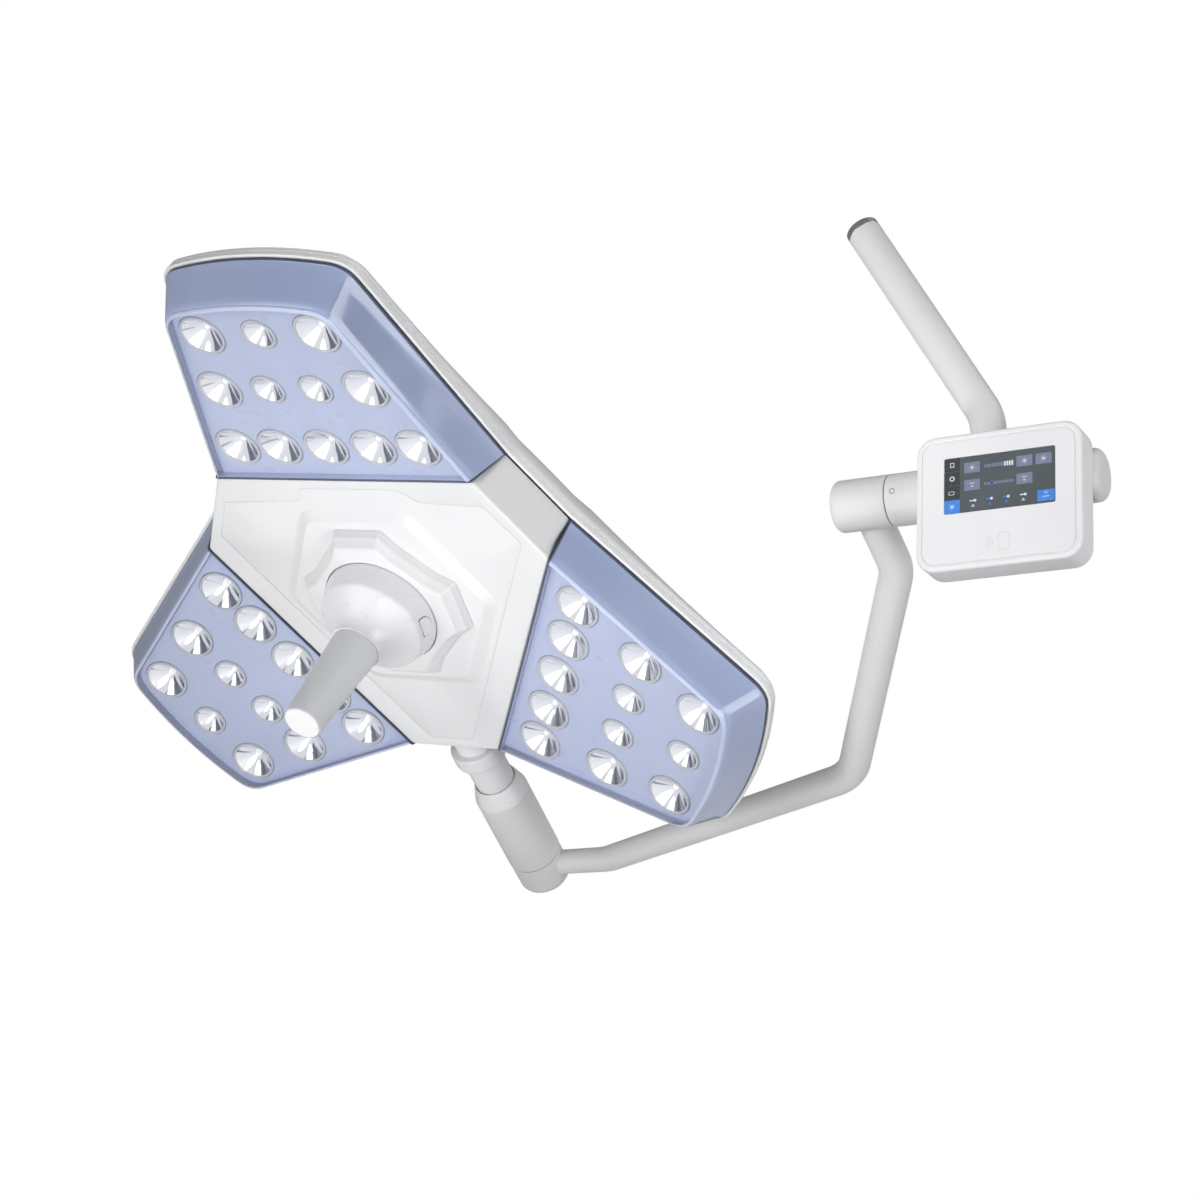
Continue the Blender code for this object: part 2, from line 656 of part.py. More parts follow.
def build_handle(head):
    """Turning handle base, sterile grip, inner post and the grip's release button."""
    handle = add_frame("handle", head)
    wall = 3 * MM
    flare = [(r * MM, z * MM) for r, z in BASE_FLARE]
    outer = [*flare, (BASE_EDGE_R, BASE_EDGE), (BASE_R, NUT_TOP), (BASE_R, BASE_LOW)]
    inner = [(BASE_R - wall, BASE_LOW), (BASE_R - wall, NUT_TOP), (BASE_EDGE_R - wall - MM, 62 * MM),
             (26 * MM, 66 * MM), (21.5 * MM, 80 * MM), (21.5 * MM, 93 * MM)]
    base = turned("handle_base", outer + inner, handle, handle_white, 24, ring=True)

    post = [(0, 180 * MM), (11 * MM, 180 * MM), (12.5 * MM, 178 * MM), (13.5 * MM, 100 * MM),
            (13.5 * MM, 33 * MM), (13.5 * MM, 20 * MM), (9 * MM, 8 * MM), (9 * MM, -36 * MM), (0, -36 * MM)]
    turned("handle_post", post, handle, steel, SMALL_ROUND)
    carrier = [(30 * MM, 60 * MM), (30 * MM, 42 * MM), (48.8 * MM, 42 * MM), (48.8 * MM, 39 * MM),
               (14.1 * MM, 39 * MM), (14.1 * MM, 42 * MM), (27 * MM, 42 * MM), (27 * MM, 60 * MM)]
    turned("base_carrier", carrier, handle, aluminium, SMALL_ROUND, ring=True)

    grip = [(0, GRIP_END), (GRIP_TIP_R - 1.5 * MM, GRIP_END), (GRIP_TIP_R, GRIP_END - 1.5 * MM),
            (GRIP_R, 92 * MM), (GRIP_R, GRIP_START), (GRIP_R - 2.2 * MM, GRIP_START),
            (GRIP_R - 2.2 * MM, 92 * MM), (GRIP_TIP_R - 2.2 * MM, GRIP_END - 4 * MM), (0, GRIP_END - 4 * MM)]
    turned("sterile_grip", grip, handle, grip_grey, ROUND)

    lean = math.degrees(math.atan2(BASE_R - BASE_EDGE_R, BASE_EDGE - NUT_TOP))
    middle_r = (BASE_R + BASE_EDGE_R) / 2
    middle_z = (NUT_TOP + BASE_EDGE) / 2
    at = Matrix.Rotation(math.radians(BUTTON_ANGLE), 4, "Z") @ Vector((middle_r, 0, middle_z))
    button_frame = add_frame("button_frame", handle, at, (0, 90 - lean, BUTTON_ANGLE))
    plate("release_button", button_outline(0), [], -9 * MM, 0.8 * MM, button_frame, trim_grey)
    hole = plate("button_hole", button_outline(0.4 * MM), [], -12 * MM, 6 * MM, button_frame, trim_grey)
    combine(base, hole, "DIFFERENCE")
    spring = []
    for i in range(25):
        angle = 2 * math.pi * i / 8
        spring.append((3 * MM * math.cos(angle), 3 * MM * math.sin(angle), -10 * MM - i / 24 * 7 * MM))
    tube("button_spring", spring, [0.5 * MM] * 25, button_frame, steel, resolution=1)


def button_outline(growth):
    """D-shaped button, its round side towards the hub."""
    half = 9 * MM + growth
    outline = [(-5 * MM - growth, -half), (-5 * MM - growth, half)]
    for i in range(9):
        angle = math.radians(90 - 180 * i / 8)
        outline.append((-1 * MM + (7 * MM + growth) * math.cos(angle), half * math.sin(angle)))
    return outline[::-1]


# ---------------------------------------------------------------- neck and yoke

def build_neck():
    """Neck tube and spindle that the head turns on, with the ring over its root."""
    neck = [(0, -150 * MM), (NECK_TAIL_R, -150 * MM), (NECK_TAIL_R, -182 * MM), (NECK_R, -182 * MM),
            (NECK_R, -283 * MM), (SPINDLE_R, -284 * MM), (SPINDLE_R, -404 * MM), (0, -404 * MM)]
    turned("neck_spindle", neck, turn_frame, shell_white, ROUND)
    root = [(24.5 * MM, -228 * MM), (24.5 * MM, -243 * MM), (21 * MM, -248 * MM),
            (NECK_R + GAP, -248 * MM), (NECK_R + GAP, -228 * MM)]
    turned("neck_root_ring", root, turn_frame, shell_white, ROUND, ring=True)
    ring("spindle_nut", 15 * MM, 10.9 * MM, -402 * MM, -394.5 * MM, turn_frame, steel, 6)


def build_lower_barrel():
    """Collar, barrel and end cap around the spindle, with their bushes."""
    collar = [(NECK_R + 1.2 * MM, -COLLAR_TOP), (LOWER_R, -COLLAR_LOW + 3 * MM), (LOWER_R, -COLLAR_LOW),
              (NECK_R + 0.6 * MM, -COLLAR_LOW), (NECK_R + 0.6 * MM, -COLLAR_TOP)]
    turned("neck_collar", collar, neck_frame, handle_white, ROUND, ring=True)
    start = -COLLAR_LOW - GAP
    bore = LOWER_R - 4 * MM
    barrel = [(LOWER_R, start), (LOWER_R, -CAP_SEAM), (bore, -CAP_SEAM), (bore, start)]
    turned("lower_barrel", barrel, neck_frame, arm_white, ROUND, ring=True)
    start = -CAP_SEAM - GAP
    cap = [(0, -LOWER_END + 5 * MM), (LOWER_R - 6 * MM, -LOWER_END + 5 * MM), (LOWER_R - 6 * MM, start),
           (LOWER_R - 0.4 * MM, start), (LOWER_R - 0.4 * MM, -LOWER_END + 9 * MM)]
    for i in range(1, 5):
        angle = math.radians(90 * i / 4)
        cap.append((LOWER_R - 9.4 * MM + 9 * MM * math.cos(angle),
                    -LOWER_END + 9 * MM - 9 * MM * math.sin(angle)))
    cap.append((0, -LOWER_END))
    turned("lower_end_cap", cap, neck_frame, arm_white, ROUND)
    bush_r = LOWER_R - 4 * MM - GAP
    for name, low in (("upper_neck_bush", -312 * MM), ("lower_neck_bush", -378 * MM)):
        ring(name, bush_r, SPINDLE_R + GAP, low, low + 11 * MM, neck_frame, bronze)
    ring("friction_washer", 15 * MM, SPINDLE_R + GAP, -392 * MM, -386 * MM, neck_frame, seal_grey)


def build_yoke_tube():
    """Bent tube from the sleeve on the horizontal axis down to the lower barrel."""
    start = (YOKE_JOIN, 0, -8 * MM)
    corners = [(x * MM, 0, -d * MM) for x, d in YOKE_CORNERS]
    route = rounded_route(corners, start, (YOKE_END[0] * MM, 0, -YOKE_END[1] * MM), YOKE_BEND_R)
    last = len(route) - 1
    radii = [TUBE_R - 2.2 * MM * max(0, i / last * 2 - 1) for i in range(len(route))]
    yoke = tube("yoke_tube", route, radii, yoke_frame, arm_white)
    combine(yoke, rod("sleeve_saddle", BARREL_R + GAP, SLEEVE_START - 5 * MM, BARREL_SEAM + 5 * MM,
                      yoke_frame, steel, ROUND, rotation=(0, 90, 0)), "DIFFERENCE")
    combine(yoke, rod("barrel_saddle", LOWER_R + GAP, -LOWER_END - 10 * MM, -CAP_SEAM + 40 * MM,
                      neck_frame, steel, ROUND), "DIFFERENCE")


def build_upper_hinge():
    """Sleeve on the horizontal axis, its axle and bushes."""
    along_x = (0, 90, 0)
    inner = BARREL_R - BARREL_WALL
    sleeve = [(0, SLEEVE_START + 4 * MM), (inner, SLEEVE_START + 4 * MM), (inner, BARREL_SEAM - GAP),
              (BARREL_R, BARREL_SEAM - GAP)]
    for i in range(5):
        angle = math.radians(90 * i / 4)
        sleeve.append((BARREL_R - 5 * MM + 5 * MM * math.cos(angle),
                       SLEEVE_START + 5 * MM - 5 * MM * math.sin(angle)))
    sleeve.append((0, SLEEVE_START))
    turned("yoke_sleeve", sleeve, yoke_frame, arm_white, ROUND, rotation=along_x)
    bush_r = BARREL_R - BARREL_WALL - GAP
    for name, low in (("outer_yoke_bush", 436 * MM), ("inner_yoke_bush", 452 * MM)):
        ring(name, bush_r, AXLE_R + GAP, low, low + 11 * MM, yoke_frame, bronze, rotation=along_x)
    axle = [(0, 520 * MM), (AXLE_R, 520 * MM), (AXLE_R, 434 * MM), (5 * MM, 434 * MM), (5 * MM, 427 * MM),
            (0, 427 * MM)]
    turned("hinge_axle", axle, gimbal, steel, SMALL_ROUND, rotation=along_x)
    ring("axle_nut", 10 * MM, 6.2 * MM, 428 * MM, 433 * MM, gimbal, steel, 6, rotation=along_x)


# ---------------------------------------------------------------- fixed arm

def build_fixed_barrel():
    """Fixed half of the horizontal barrel and the parts that hold the axle in it."""
    along_x = (0, 90, 0)
    inner = BARREL_R - BARREL_WALL
    barrel = ring("fixed_barrel", BARREL_R, inner, BARREL_SEAM, BARREL_CAP, gimbal, arm_white, ROUND,
                  rotation=along_x)
    screw_at = (SET_SCREW_AT, 0, 0)
    hole = rod("screw_hole", 2 * MM, 10 * MM, 30 * MM, gimbal, steel, 12, location=screw_at,
               rotation=(90, 0, 0))
    combine(barrel, hole, "DIFFERENCE")
    rod("axle_set_screw", 1.6 * MM, inner + GAP, BARREL_R - 1.2 * MM, gimbal, steel, 12,
        location=screw_at, rotation=(90, 0, 0))
    ring("axle_holder", inner - GAP, AXLE_R + GAP, BARREL_SEAM + MM, 512 * MM, gimbal, aluminium,
         rotation=along_x)
    cap = [(0, BARREL_END)]
    for i in range(4):
        angle = math.radians(90 * i / 4)
        cap.append((BARREL_R - 8 * MM + 7.9 * MM * math.sin(angle),
                    BARREL_END - 8 * MM + 8 * MM * math.cos(angle)))
    cap += [(BARREL_R - 0.1 * MM, BARREL_CAP + GAP), (inner - GAP, BARREL_CAP + GAP),
            (inner - GAP, BARREL_CAP - 6 * MM), (0, BARREL_CAP - 6 * MM)]
    turned("barrel_end_cap", cap, gimbal, arm_white, ROUND, rotation=along_x)


def build_drop_tube():
    """Bent tube from the arm down into the barrel, with the fitting that the arm bolts to."""
    up = (TUBE_TOP - TUBE_BEND).normalized()
    flange = 6 * MM
    start = TUBE_TOP - up * (flange + GAP)
    foot = Vector((TUBE_BEND.x, 0, 8 * MM))
    route = rounded_route([TUBE_BEND], start, foot, 45 * MM, 8)
    drop = tube("drop_tube", route, [TUBE_R] * len(route), gimbal, arm_white)
    lean = math.degrees(math.atan2(up.x, up.z))
    bore = rod("drop_bore", TUBE_R - TUBE_WALL, -60 * MM, 5 * MM, gimbal, steel, ROUND,
               location=TUBE_TOP, rotation=(0, lean, 0))
    combine(drop, bore, "DIFFERENCE")
    saddle = rod("drop_saddle", BARREL_R + GAP, 500 * MM, 590 * MM, gimbal, steel, ROUND,
                 rotation=(0, 90, 0))
    combine(drop, saddle, "DIFFERENCE")
    plug_r = TUBE_R - TUBE_WALL - GAP
    fitting = [(0, 0), (TUBE_R, 0), (TUBE_R, -flange), (plug_r, -flange), (plug_r, -45 * MM), (0, -45 * MM)]
    turned("arm_end_fitting", fitting, gimbal, steel, ROUND, location=TUBE_TOP, rotation=(0, lean, 0))


# ---------------------------------------------------------------- control panel

def build_panel():
    """Control panel on the front of the barrel: housing, front, screen, board and bracket."""
    upright = (90, 0, 0)
    depth_back, depth_front = -PANEL_BACK, -PANEL_FRONT
    outline = rounded_box(PANEL_LEFT, PANEL_RIGHT, PANEL_LOW, PANEL_HIGH, PANEL_CORNER)
    housing = plate("panel_housing", outline, [], depth_back, depth_front, gimbal, panel_white,
                    rotation=upright)
    bevel(housing, 3 * MM, 2, 60)
    inside = rounded_box(PANEL_LEFT + PANEL_RIM, PANEL_RIGHT - PANEL_RIM, PANEL_LOW + PANEL_RIM,
                         PANEL_HIGH - PANEL_RIM, PANEL_CORNER - PANEL_RIM)
    pocket = plate("panel_pocket", inside, [], depth_back + 8.5 * MM, depth_front + 4 * MM, gimbal,
                   panel_white, rotation=upright)
    combine(housing, pocket, "DIFFERENCE")
    groove = rod("panel_saddle", BARREL_R + GAP, 480 * MM, 650 * MM, gimbal, steel, ROUND,
                 rotation=(0, 90, 0))
    combine(housing, groove, "DIFFERENCE")

    left, right, low, high = SCREEN
    front = rounded_box(PANEL_LEFT + PANEL_RIM + 0.5 * MM, PANEL_RIGHT - PANEL_RIM - 0.5 * MM,
                        PANEL_LOW + PANEL_RIM + 0.5 * MM, PANEL_HIGH - PANEL_RIM - 0.5 * MM,
                        PANEL_CORNER - PANEL_RIM - 0.5 * MM)
    window = rounded_box(left, right, low, high, 2 * MM, 2)
    plate("panel_front", front, [window], depth_front - 3 * MM, depth_front, gimbal, panel_white,
          rotation=upright)
    glass = rounded_box(left + GAP, right - GAP, low + GAP, high - GAP, 1.7 * MM, 2)
    plate("panel_screen", glass, [], depth_front - 3 * MM, depth_front - 0.4 * MM, gimbal, screen_black,
          rotation=upright)
    board = rounded_box(left - 10 * MM, right + 8 * MM, low - 26 * MM, high + 6 * MM, 3 * MM, 2)
    plate("panel_board", board, [], depth_front - 8 * MM, depth_front - 6.4 * MM, gimbal, board_green,
          rotation=upright)
    lower = rounded_box(540 * MM, 594 * MM, -62 * MM, -23 * MM, 4 * MM, 2)
    bracket = plate("panel_bracket", lower, [], -6 * MM, depth_back - GAP, gimbal, aluminium,
                    rotation=upright)
    clear = rod("bracket_saddle", BARREL_R + GAP, 480 * MM, 650 * MM, gimbal, steel, ROUND,
                rotation=(0, 90, 0))
    combine(bracket, clear, "DIFFERENCE")
    for number, x in enumerate((549 * MM, 585 * MM), 1):
        screw = [(0, 10 * MM), (4 * MM, 10 * MM), (4 * MM, 6 * MM + GAP), (0, 6 * MM + GAP)]
        turned(f"bracket_screw_{number}", screw, gimbal, steel, 12, location=(x, 0, -48 * MM),
               rotation=(-90, 0, 0))


# ---------------------------------------------------------------- assembly

for old in list(bpy.data.objects):
    bpy.data.objects.remove(old, do_unlink=True)

parts = bpy.data.collections.new("operating_light")
cutters = bpy.data.collections.new("cutters")
bpy.context.scene.collection.children.link(parts)
bpy.context.scene.collection.children.link(cutters)

shell_white = make_material("shell_white", (0.86, 0.87, 0.88), 0.28)
arm_white = make_material("arm_white", (0.80, 0.80, 0.81), 0.35)
handle_white = make_material("handle_white", (0.84, 0.84, 0.85), 0.30)
grip_grey = make_material("grip_grey", (0.70, 0.71, 0.72), 0.40)
panel_white = make_material("panel_white", (0.84, 0.84, 0.86), 0.35)
cover_blue = make_material("cover_blue", (0.36, 0.44, 0.68), 0.08, alpha=0.45)
mask_blue = make_material("mask_blue", (0.42, 0.48, 0.70), 0.35)
seal_grey = make_material("seal_grey", (0.06, 0.07, 0.10), 0.60)
trim_grey = make_material("trim_grey", (0.72, 0.72, 0.74), 0.40)
chrome = make_material("chrome", (0.90, 0.90, 0.92), 0.08, 1.0)
steel = make_material("steel", (0.60, 0.61, 0.63), 0.30, 1.0)
aluminium = make_material("aluminium", (0.75, 0.76, 0.78), 0.35, 1.0)
bronze = make_material("bronze", (0.62, 0.46, 0.24), 0.40, 1.0)
board_green = make_material("board_green", (0.08, 0.30, 0.16), 0.50)
screen_black = make_material("screen_black", (0.05, 0.06, 0.08), 0.10)

gimbal = add_frame("gimbal", None, GIMBAL)
yoke_frame = add_frame("yoke", gimbal, rotation=(YOKE_SWING, 0, 0))
neck_frame = add_frame("neck_axis", yoke_frame, rotation=(0, NECK_CANT, 0))
turn_frame = add_frame("head_turn", neck_frame, rotation=(0, 0, HEAD_TURN))
head_frame = add_frame("head", turn_frame, (0, HEAD_BEHIND, -HEAD_BELOW), (90 - FACE_TILT, 0, 0))

build_drop_tube()
build_fixed_barrel()
build_panel()
build_upper_hinge()
build_yoke_tube()
build_lower_barrel()
build_neck()
build_head_inside(head_frame)
build_hub_cover(head_frame)
build_nut_ring(head_frame)
build_rear_shell(head_frame)
build_petals(head_frame)
build_handle(head_frame)
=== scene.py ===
"""Looks of a ceiling-hung operating light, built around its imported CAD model. Metres, +Z up."""
import json
import math

import bmesh
import bpy
from mathutils import Matrix, Vector


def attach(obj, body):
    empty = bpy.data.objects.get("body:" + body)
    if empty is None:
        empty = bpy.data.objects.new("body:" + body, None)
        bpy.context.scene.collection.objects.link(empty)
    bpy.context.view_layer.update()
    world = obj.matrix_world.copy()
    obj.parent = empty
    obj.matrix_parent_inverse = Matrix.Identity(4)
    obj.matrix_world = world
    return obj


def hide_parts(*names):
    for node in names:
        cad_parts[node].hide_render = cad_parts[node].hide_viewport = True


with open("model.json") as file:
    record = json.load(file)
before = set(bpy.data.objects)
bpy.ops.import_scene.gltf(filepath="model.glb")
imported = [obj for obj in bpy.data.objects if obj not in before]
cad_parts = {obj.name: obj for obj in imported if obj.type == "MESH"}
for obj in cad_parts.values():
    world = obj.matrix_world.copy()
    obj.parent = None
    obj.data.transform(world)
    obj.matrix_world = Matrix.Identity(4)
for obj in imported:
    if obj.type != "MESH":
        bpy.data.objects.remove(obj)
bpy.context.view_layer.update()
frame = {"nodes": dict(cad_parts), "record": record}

MM = 0.001

# ---------------------------------------------------------------- camera

camera_data = bpy.data.cameras.new("camera")
camera_data.sensor_width = 36
camera_data.lens = 77.54
camera_data.clip_end = 50
camera = bpy.data.objects.new("camera", camera_data)
bpy.context.scene.collection.objects.link(camera)
camera.location = (0.72721, -1.74921, -0.91493)
camera.rotation_euler = [math.radians(angle) for angle in (107.484, -2.673, 27.643)]
bpy.context.scene.camera = camera
bpy.context.scene.view_settings.view_transform = "Standard"


# ---------------------------------------------------------------- frames of the moving bodies

YOKE_SWING, NECK_CANT, HEAD_TURN, FACE_TILT = 62.65, 4.03, -7.0, 6.12
ARM_REACH, ARM_DROP = 437, 235       # arm's end to the crossing of the yoke and neck axes
HEAD_CENTRE = (0, 19.3, -35.6)       # from that crossing, in the turned neck's frame
PETAL_TILT = 9.4
PETALS = {1: 90, 2: -30, 3: -150}    # direction of each petal on the head
AROUND = (90, 210, 330)              # the same directions, counter-clockwise


def placed(location=(0, 0, 0), x=0, y=0, z=0):
    """Frame from a place and turns about X, then Y, then Z, in millimetres and degrees."""
    turn = (Matrix.Rotation(math.radians(z), 4, "Z") @ Matrix.Rotation(math.radians(y), 4, "Y")
            @ Matrix.Rotation(math.radians(x), 4, "X"))
    return Matrix.Translation(Vector(location) * MM) @ turn


GIMBAL = placed((-ARM_REACH, 0, -ARM_DROP))
YOKE = GIMBAL @ placed(x=YOKE_SWING)
NECK = YOKE @ placed(y=NECK_CANT)
NECK_TURN = NECK @ placed(z=HEAD_TURN)
HEAD = NECK_TURN @ placed(HEAD_CENTRE, x=90 - FACE_TILT)
PETAL = {k: HEAD @ placed(y=-PETAL_TILT, z=a) for k, a in PETALS.items()}
ALONG_X = placed(y=90)


# ---------------------------------------------------------------- materials

class Shader:
    """A Principled material with its texture coordinates, for chaining procedural detail."""

    def __init__(self, name, colour, roughness, metallic=0.0):
        self.material = bpy.data.materials.new(name)
        self.material.use_nodes = True
        self.tree = self.material.node_tree
        self.shader = self.tree.nodes["Principled BSDF"]
        self.colour = colour
        self.set("Base Color", (*colour, 1))
        self.set("Roughness", roughness)
        self.set("Metallic", metallic)
        self.coordinates = self.tree.nodes.new("ShaderNodeTexCoord")

    def set(self, socket, value):
        self.shader.inputs[socket].default_value = value
        return self

    def link(self, out, into):
        self.tree.links.new(out, into)

    def noise(self, scale, detail, stretch=(1, 1, 1)):
        mapping = self.tree.nodes.new("ShaderNodeMapping")
        mapping.inputs["Scale"].default_value = stretch
        texture = self.tree.nodes.new("ShaderNodeTexNoise")
        texture.inputs["Scale"].default_value = scale
        texture.inputs["Detail"].default_value = detail
        self.link(self.coordinates.outputs["Object"], mapping.inputs["Vector"])
        self.link(mapping.outputs["Vector"], texture.inputs["Vector"])
        return texture.outputs["Fac"]

    def spread(self, value, low, high):
        """Map a 0.3 to 0.7 noise value to a range."""
        node = self.tree.nodes.new("ShaderNodeMapRange")
        node.inputs["From Min"].default_value = 0.3
        node.inputs["From Max"].default_value = 0.7
        node.inputs["To Min"].default_value = low
        node.inputs["To Max"].default_value = high
        self.link(value, node.inputs["Value"])
        return node.outputs["Result"]

    def roughness(self, scale, low, high, stretch=(1, 1, 1)):
        value = self.spread(self.noise(scale, 4, stretch), low, high)
        self.link(value, self.shader.inputs["Roughness"])
        return self

    def tint(self, scale, other, amount=1.0):
        """Slow drift of the base colour towards another one."""
        mix = self.tree.nodes.new("ShaderNodeMix")
        mix.data_type = "RGBA"
        mix.inputs["A"].default_value = (*self.colour, 1)
        mix.inputs["B"].default_value = (*other, 1)
        self.link(self.spread(self.noise(scale, 2), 0, amount), mix.inputs["Factor"])
        self.link(mix.outputs["Result"], self.shader.inputs["Base Color"])
        return self

    def bump(self, scale, strength, distance=0.00005, stretch=(1, 1, 1)):
        node = self.tree.nodes.new("ShaderNodeBump")
        node.inputs["Strength"].default_value = strength
        node.inputs["Distance"].default_value = distance
        self.link(self.noise(scale, 2, stretch), node.inputs["Height"])
        previous = self.shader.inputs["Normal"].links
        if previous:
            self.link(previous[0].from_socket, node.inputs["Normal"])
        self.link(node.outputs["Normal"], self.shader.inputs["Normal"])
        return self

    def done(self):
        return self.material


def moulded(name, colour, low, high, coat=0.0, grain=0.10):
    """Injection-moulded plastic: fine orange peel, slow gloss and tone changes."""
    darker = [c * 0.955 for c in colour[:2]] + [colour[2] * 0.965]
    shader = Shader(name, colour, (low + high) / 2)
    shader.tint(9, darker).roughness(60, low, high).bump(700, grain).bump(35, grain / 4, 0.0001)
    shader.set("Coat Weight", coat).set("Coat Roughness", 0.12).set("IOR", 1.5)
    return shader.done()


def coated(name, colour):
    """Powder coat: even grain, satin gloss."""
    darker = [c * 0.94 for c in colour]
    shader = Shader(name, colour, 0.4)
    shader.tint(12, darker).roughness(90, 0.30, 0.44).bump(1500, 0.16).bump(240, 0.06, 0.0001)
    return shader.done()


def machined(name, colour, low, high, stretch):
    """Bare metal with fine tool marks."""
    shader = Shader(name, colour, low, 1.0)
    shader.tint(30, [c * 0.88 for c in colour]).roughness(160, low, high, stretch)
    shader.bump(900, 0.10, 0.00003, stretch)
    return shader.done()


def lit(name, colour, strength):
    """A self-lit display area under glass."""
    shader = Shader(name, colour, 0.25)
    shader.set("Emission Color", (*colour, 1)).set("Emission Strength", strength)
    shader.tint(400, [c * 0.93 for c in colour]).roughness(500, 0.2, 0.3)
    return shader.done()


shell_white = moulded("shell_white", (0.83, 0.835, 0.84), 0.28, 0.38, 0.2, grain=0.02)
hub_white = moulded("hub_white", (0.80, 0.805, 0.81), 0.30, 0.40, 0.25)
handle_white = moulded("handle_white", (0.81, 0.812, 0.82), 0.26, 0.36, 0.3)
grip_grey = moulded("grip_grey", (0.70, 0.705, 0.71), 0.36, 0.46, 0.1)
tip_white = moulded("tip_white", (0.90, 0.90, 0.90), 0.25, 0.35, 0.2)
panel_white = moulded("panel_white", (0.83, 0.83, 0.845), 0.30, 0.40, 0.1)
trim_grey = moulded("trim_grey", (0.62, 0.625, 0.635), 0.35, 0.45)
arm_white = coated("arm_white", (0.74, 0.74, 0.75))

cover_blue = (Shader("cover_blue", (0.36, 0.43, 0.66), 0.1)
              .tint(10, (0.42, 0.49, 0.71)).roughness(40, 0.06, 0.13).bump(60, 0.03, 0.0001)
              .set("Coat Weight", 0.6).set("Coat Roughness", 0.05).set("Alpha", 0.86).done())
cover_face = (Shader("cover_face", (0.62, 0.68, 0.84), 0.08)
              .tint(12, (0.56, 0.63, 0.82)).roughness(40, 0.05, 0.1).set("Alpha", 0.16)
              .set("Coat Weight", 0.3).set("Coat Roughness", 0.05).done())
# Lighter, opaque blue for the cover's rounded shoulder round the face: a painted highlight along that
# edge.
cover_edge_highlight = (Shader("cover_edge_highlight", (0.50, 0.57, 0.78), 0.08)
              .tint(30, (0.56, 0.63, 0.83)).roughness(60, 0.05, 0.12).bump(80, 0.03, 0.0001)
              .set("Coat Weight", 0.8).set("Coat Roughness", 0.04).done())
mask_blue = (Shader("mask_blue", (0.50, 0.555, 0.76), 0.32)
             .tint(7, (0.525, 0.575, 0.76)).roughness(80, 0.26, 0.38).bump(900, 0.08)
             .set("Coat Weight", 0.3).set("Coat Roughness", 0.1).done())
seal_rubber = (Shader("seal_rubber", (0.060, 0.075, 0.125), 0.5)
               .tint(50, (0.08, 0.095, 0.15)).roughness(200, 0.4, 0.6).bump(900, 0.2).done())
chrome = (Shader("chrome", (0.93, 0.93, 0.94), 0.06, 1.0)
          .tint(60, (0.88, 0.88, 0.90)).roughness(120, 0.03, 0.09).bump(260, 0.02, 0.0001).done())
cup_rim = moulded("cup_rim", (0.58, 0.59, 0.605), 0.22, 0.34, 0.4)
phosphor = (Shader("phosphor", (0.93, 0.93, 0.90), 0.2)
            .tint(300, (0.90, 0.88, 0.78)).roughness(400, 0.15, 0.3)
            .set("Emission Color", (1, 1, 0.97, 1)).set("Emission Strength", 0.35).done())
steel = machined("steel", (0.58, 0.59, 0.61), 0.24, 0.38, (1, 1, 0.1))
# Steel darkened to near black for the grub screw: painted shade for the hollow it sits in.
screw_painted_shade = machined("screw_painted_shade", (0.05, 0.05, 0.055), 0.35, 0.5, (1, 1, 1))
aluminium = machined("aluminium", (0.74, 0.75, 0.77), 0.30, 0.45, (1, 0.1, 1))
bronze = machined("bronze", (0.60, 0.44, 0.22), 0.34, 0.5, (1, 1, 1))
board_green = (Shader("board_green", (0.05, 0.22, 0.11), 0.4)
               .tint(250, (0.03, 0.15, 0.07)).roughness(300, 0.3, 0.5).bump(600, 0.15).done())
# Near-black colour put in gaps, seams, vent slots and holes: painted shade standing in for the shadow
# inside them.
gap_shade = (Shader("gap_shade", (0.10, 0.105, 0.115), 0.6)
             .tint(90, (0.14, 0.145, 0.15)).roughness(200, 0.5, 0.7).done())
screen_ground = (Shader("screen_ground", (0.085, 0.10, 0.11), 0.12)
                 .tint(30, (0.10, 0.115, 0.125)).roughness(30, 0.08, 0.14)
                 .set("Coat Weight", 0.5).done())
ui_slate = lit("ui_slate", (0.17, 0.19, 0.27), 0.25)
ui_blue = lit("ui_blue", (0.055, 0.20, 0.58), 0.3)
ui_white = lit("ui_white", (0.60, 0.63, 0.68), 0.2)
ui_dark = lit("ui_dark", (0.05, 0.055, 0.06), 0.1)
print_grey = (Shader("print_grey", (0.62, 0.62, 0.64), 0.5)
              .tint(200, (0.68, 0.68, 0.70)).roughness(300, 0.4, 0.55).done())


# ---------------------------------------------------------------- making meshes

def piece(name, mesh, place, body, materials, replaced=(), sharp=32):
    """Put a finished mesh in the scene, riding on its body."""
    mesh.transform(place)
    obj = bpy.data.objects.new(name, mesh)
    bpy.context.scene.collection.objects.link(obj)
    for material in materials:
        mesh.materials.append(material)
    mesh.shade_smooth()
    mesh.set_sharp_from_angle(angle=math.radians(sharp))
    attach(obj, body)
    if replaced:
        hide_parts(*replaced)
    return obj


def finished(bm, name):
    mesh = bpy.data.meshes.new(name)
    bmesh.ops.recalc_face_normals(bm, faces=bm.faces)
    bm.to_mesh(mesh)
    bm.free()
    return mesh


def add_loft(bm, rings, cap_start=False, cap_end=False, closed=False, open_loop=False, slot=0):
    """Skin rows of points (in millimetres) into a bmesh and return its faces."""
    rows = [[bm.verts.new(Vector(p) * MM) for p in ring] for ring in rings]
    pairs = list(zip(rows, rows[1:]))
    if closed:
        pairs.append((rows[-1], rows[0]))
    faces = []
    for first, second in pairs:
        count = len(first) - (1 if open_loop else 0)
        for i in range(count):
            j = (i + 1) % len(first)
            faces.append(bm.faces.new((first[i], first[j], second[j], second[i])))
    if cap_start:
        faces.append(bm.faces.new(rows[0][::-1]))
    if cap_end:
        faces.append(bm.faces.new(rows[-1]))
    for face in faces:
        face.material_index = slot
    return faces


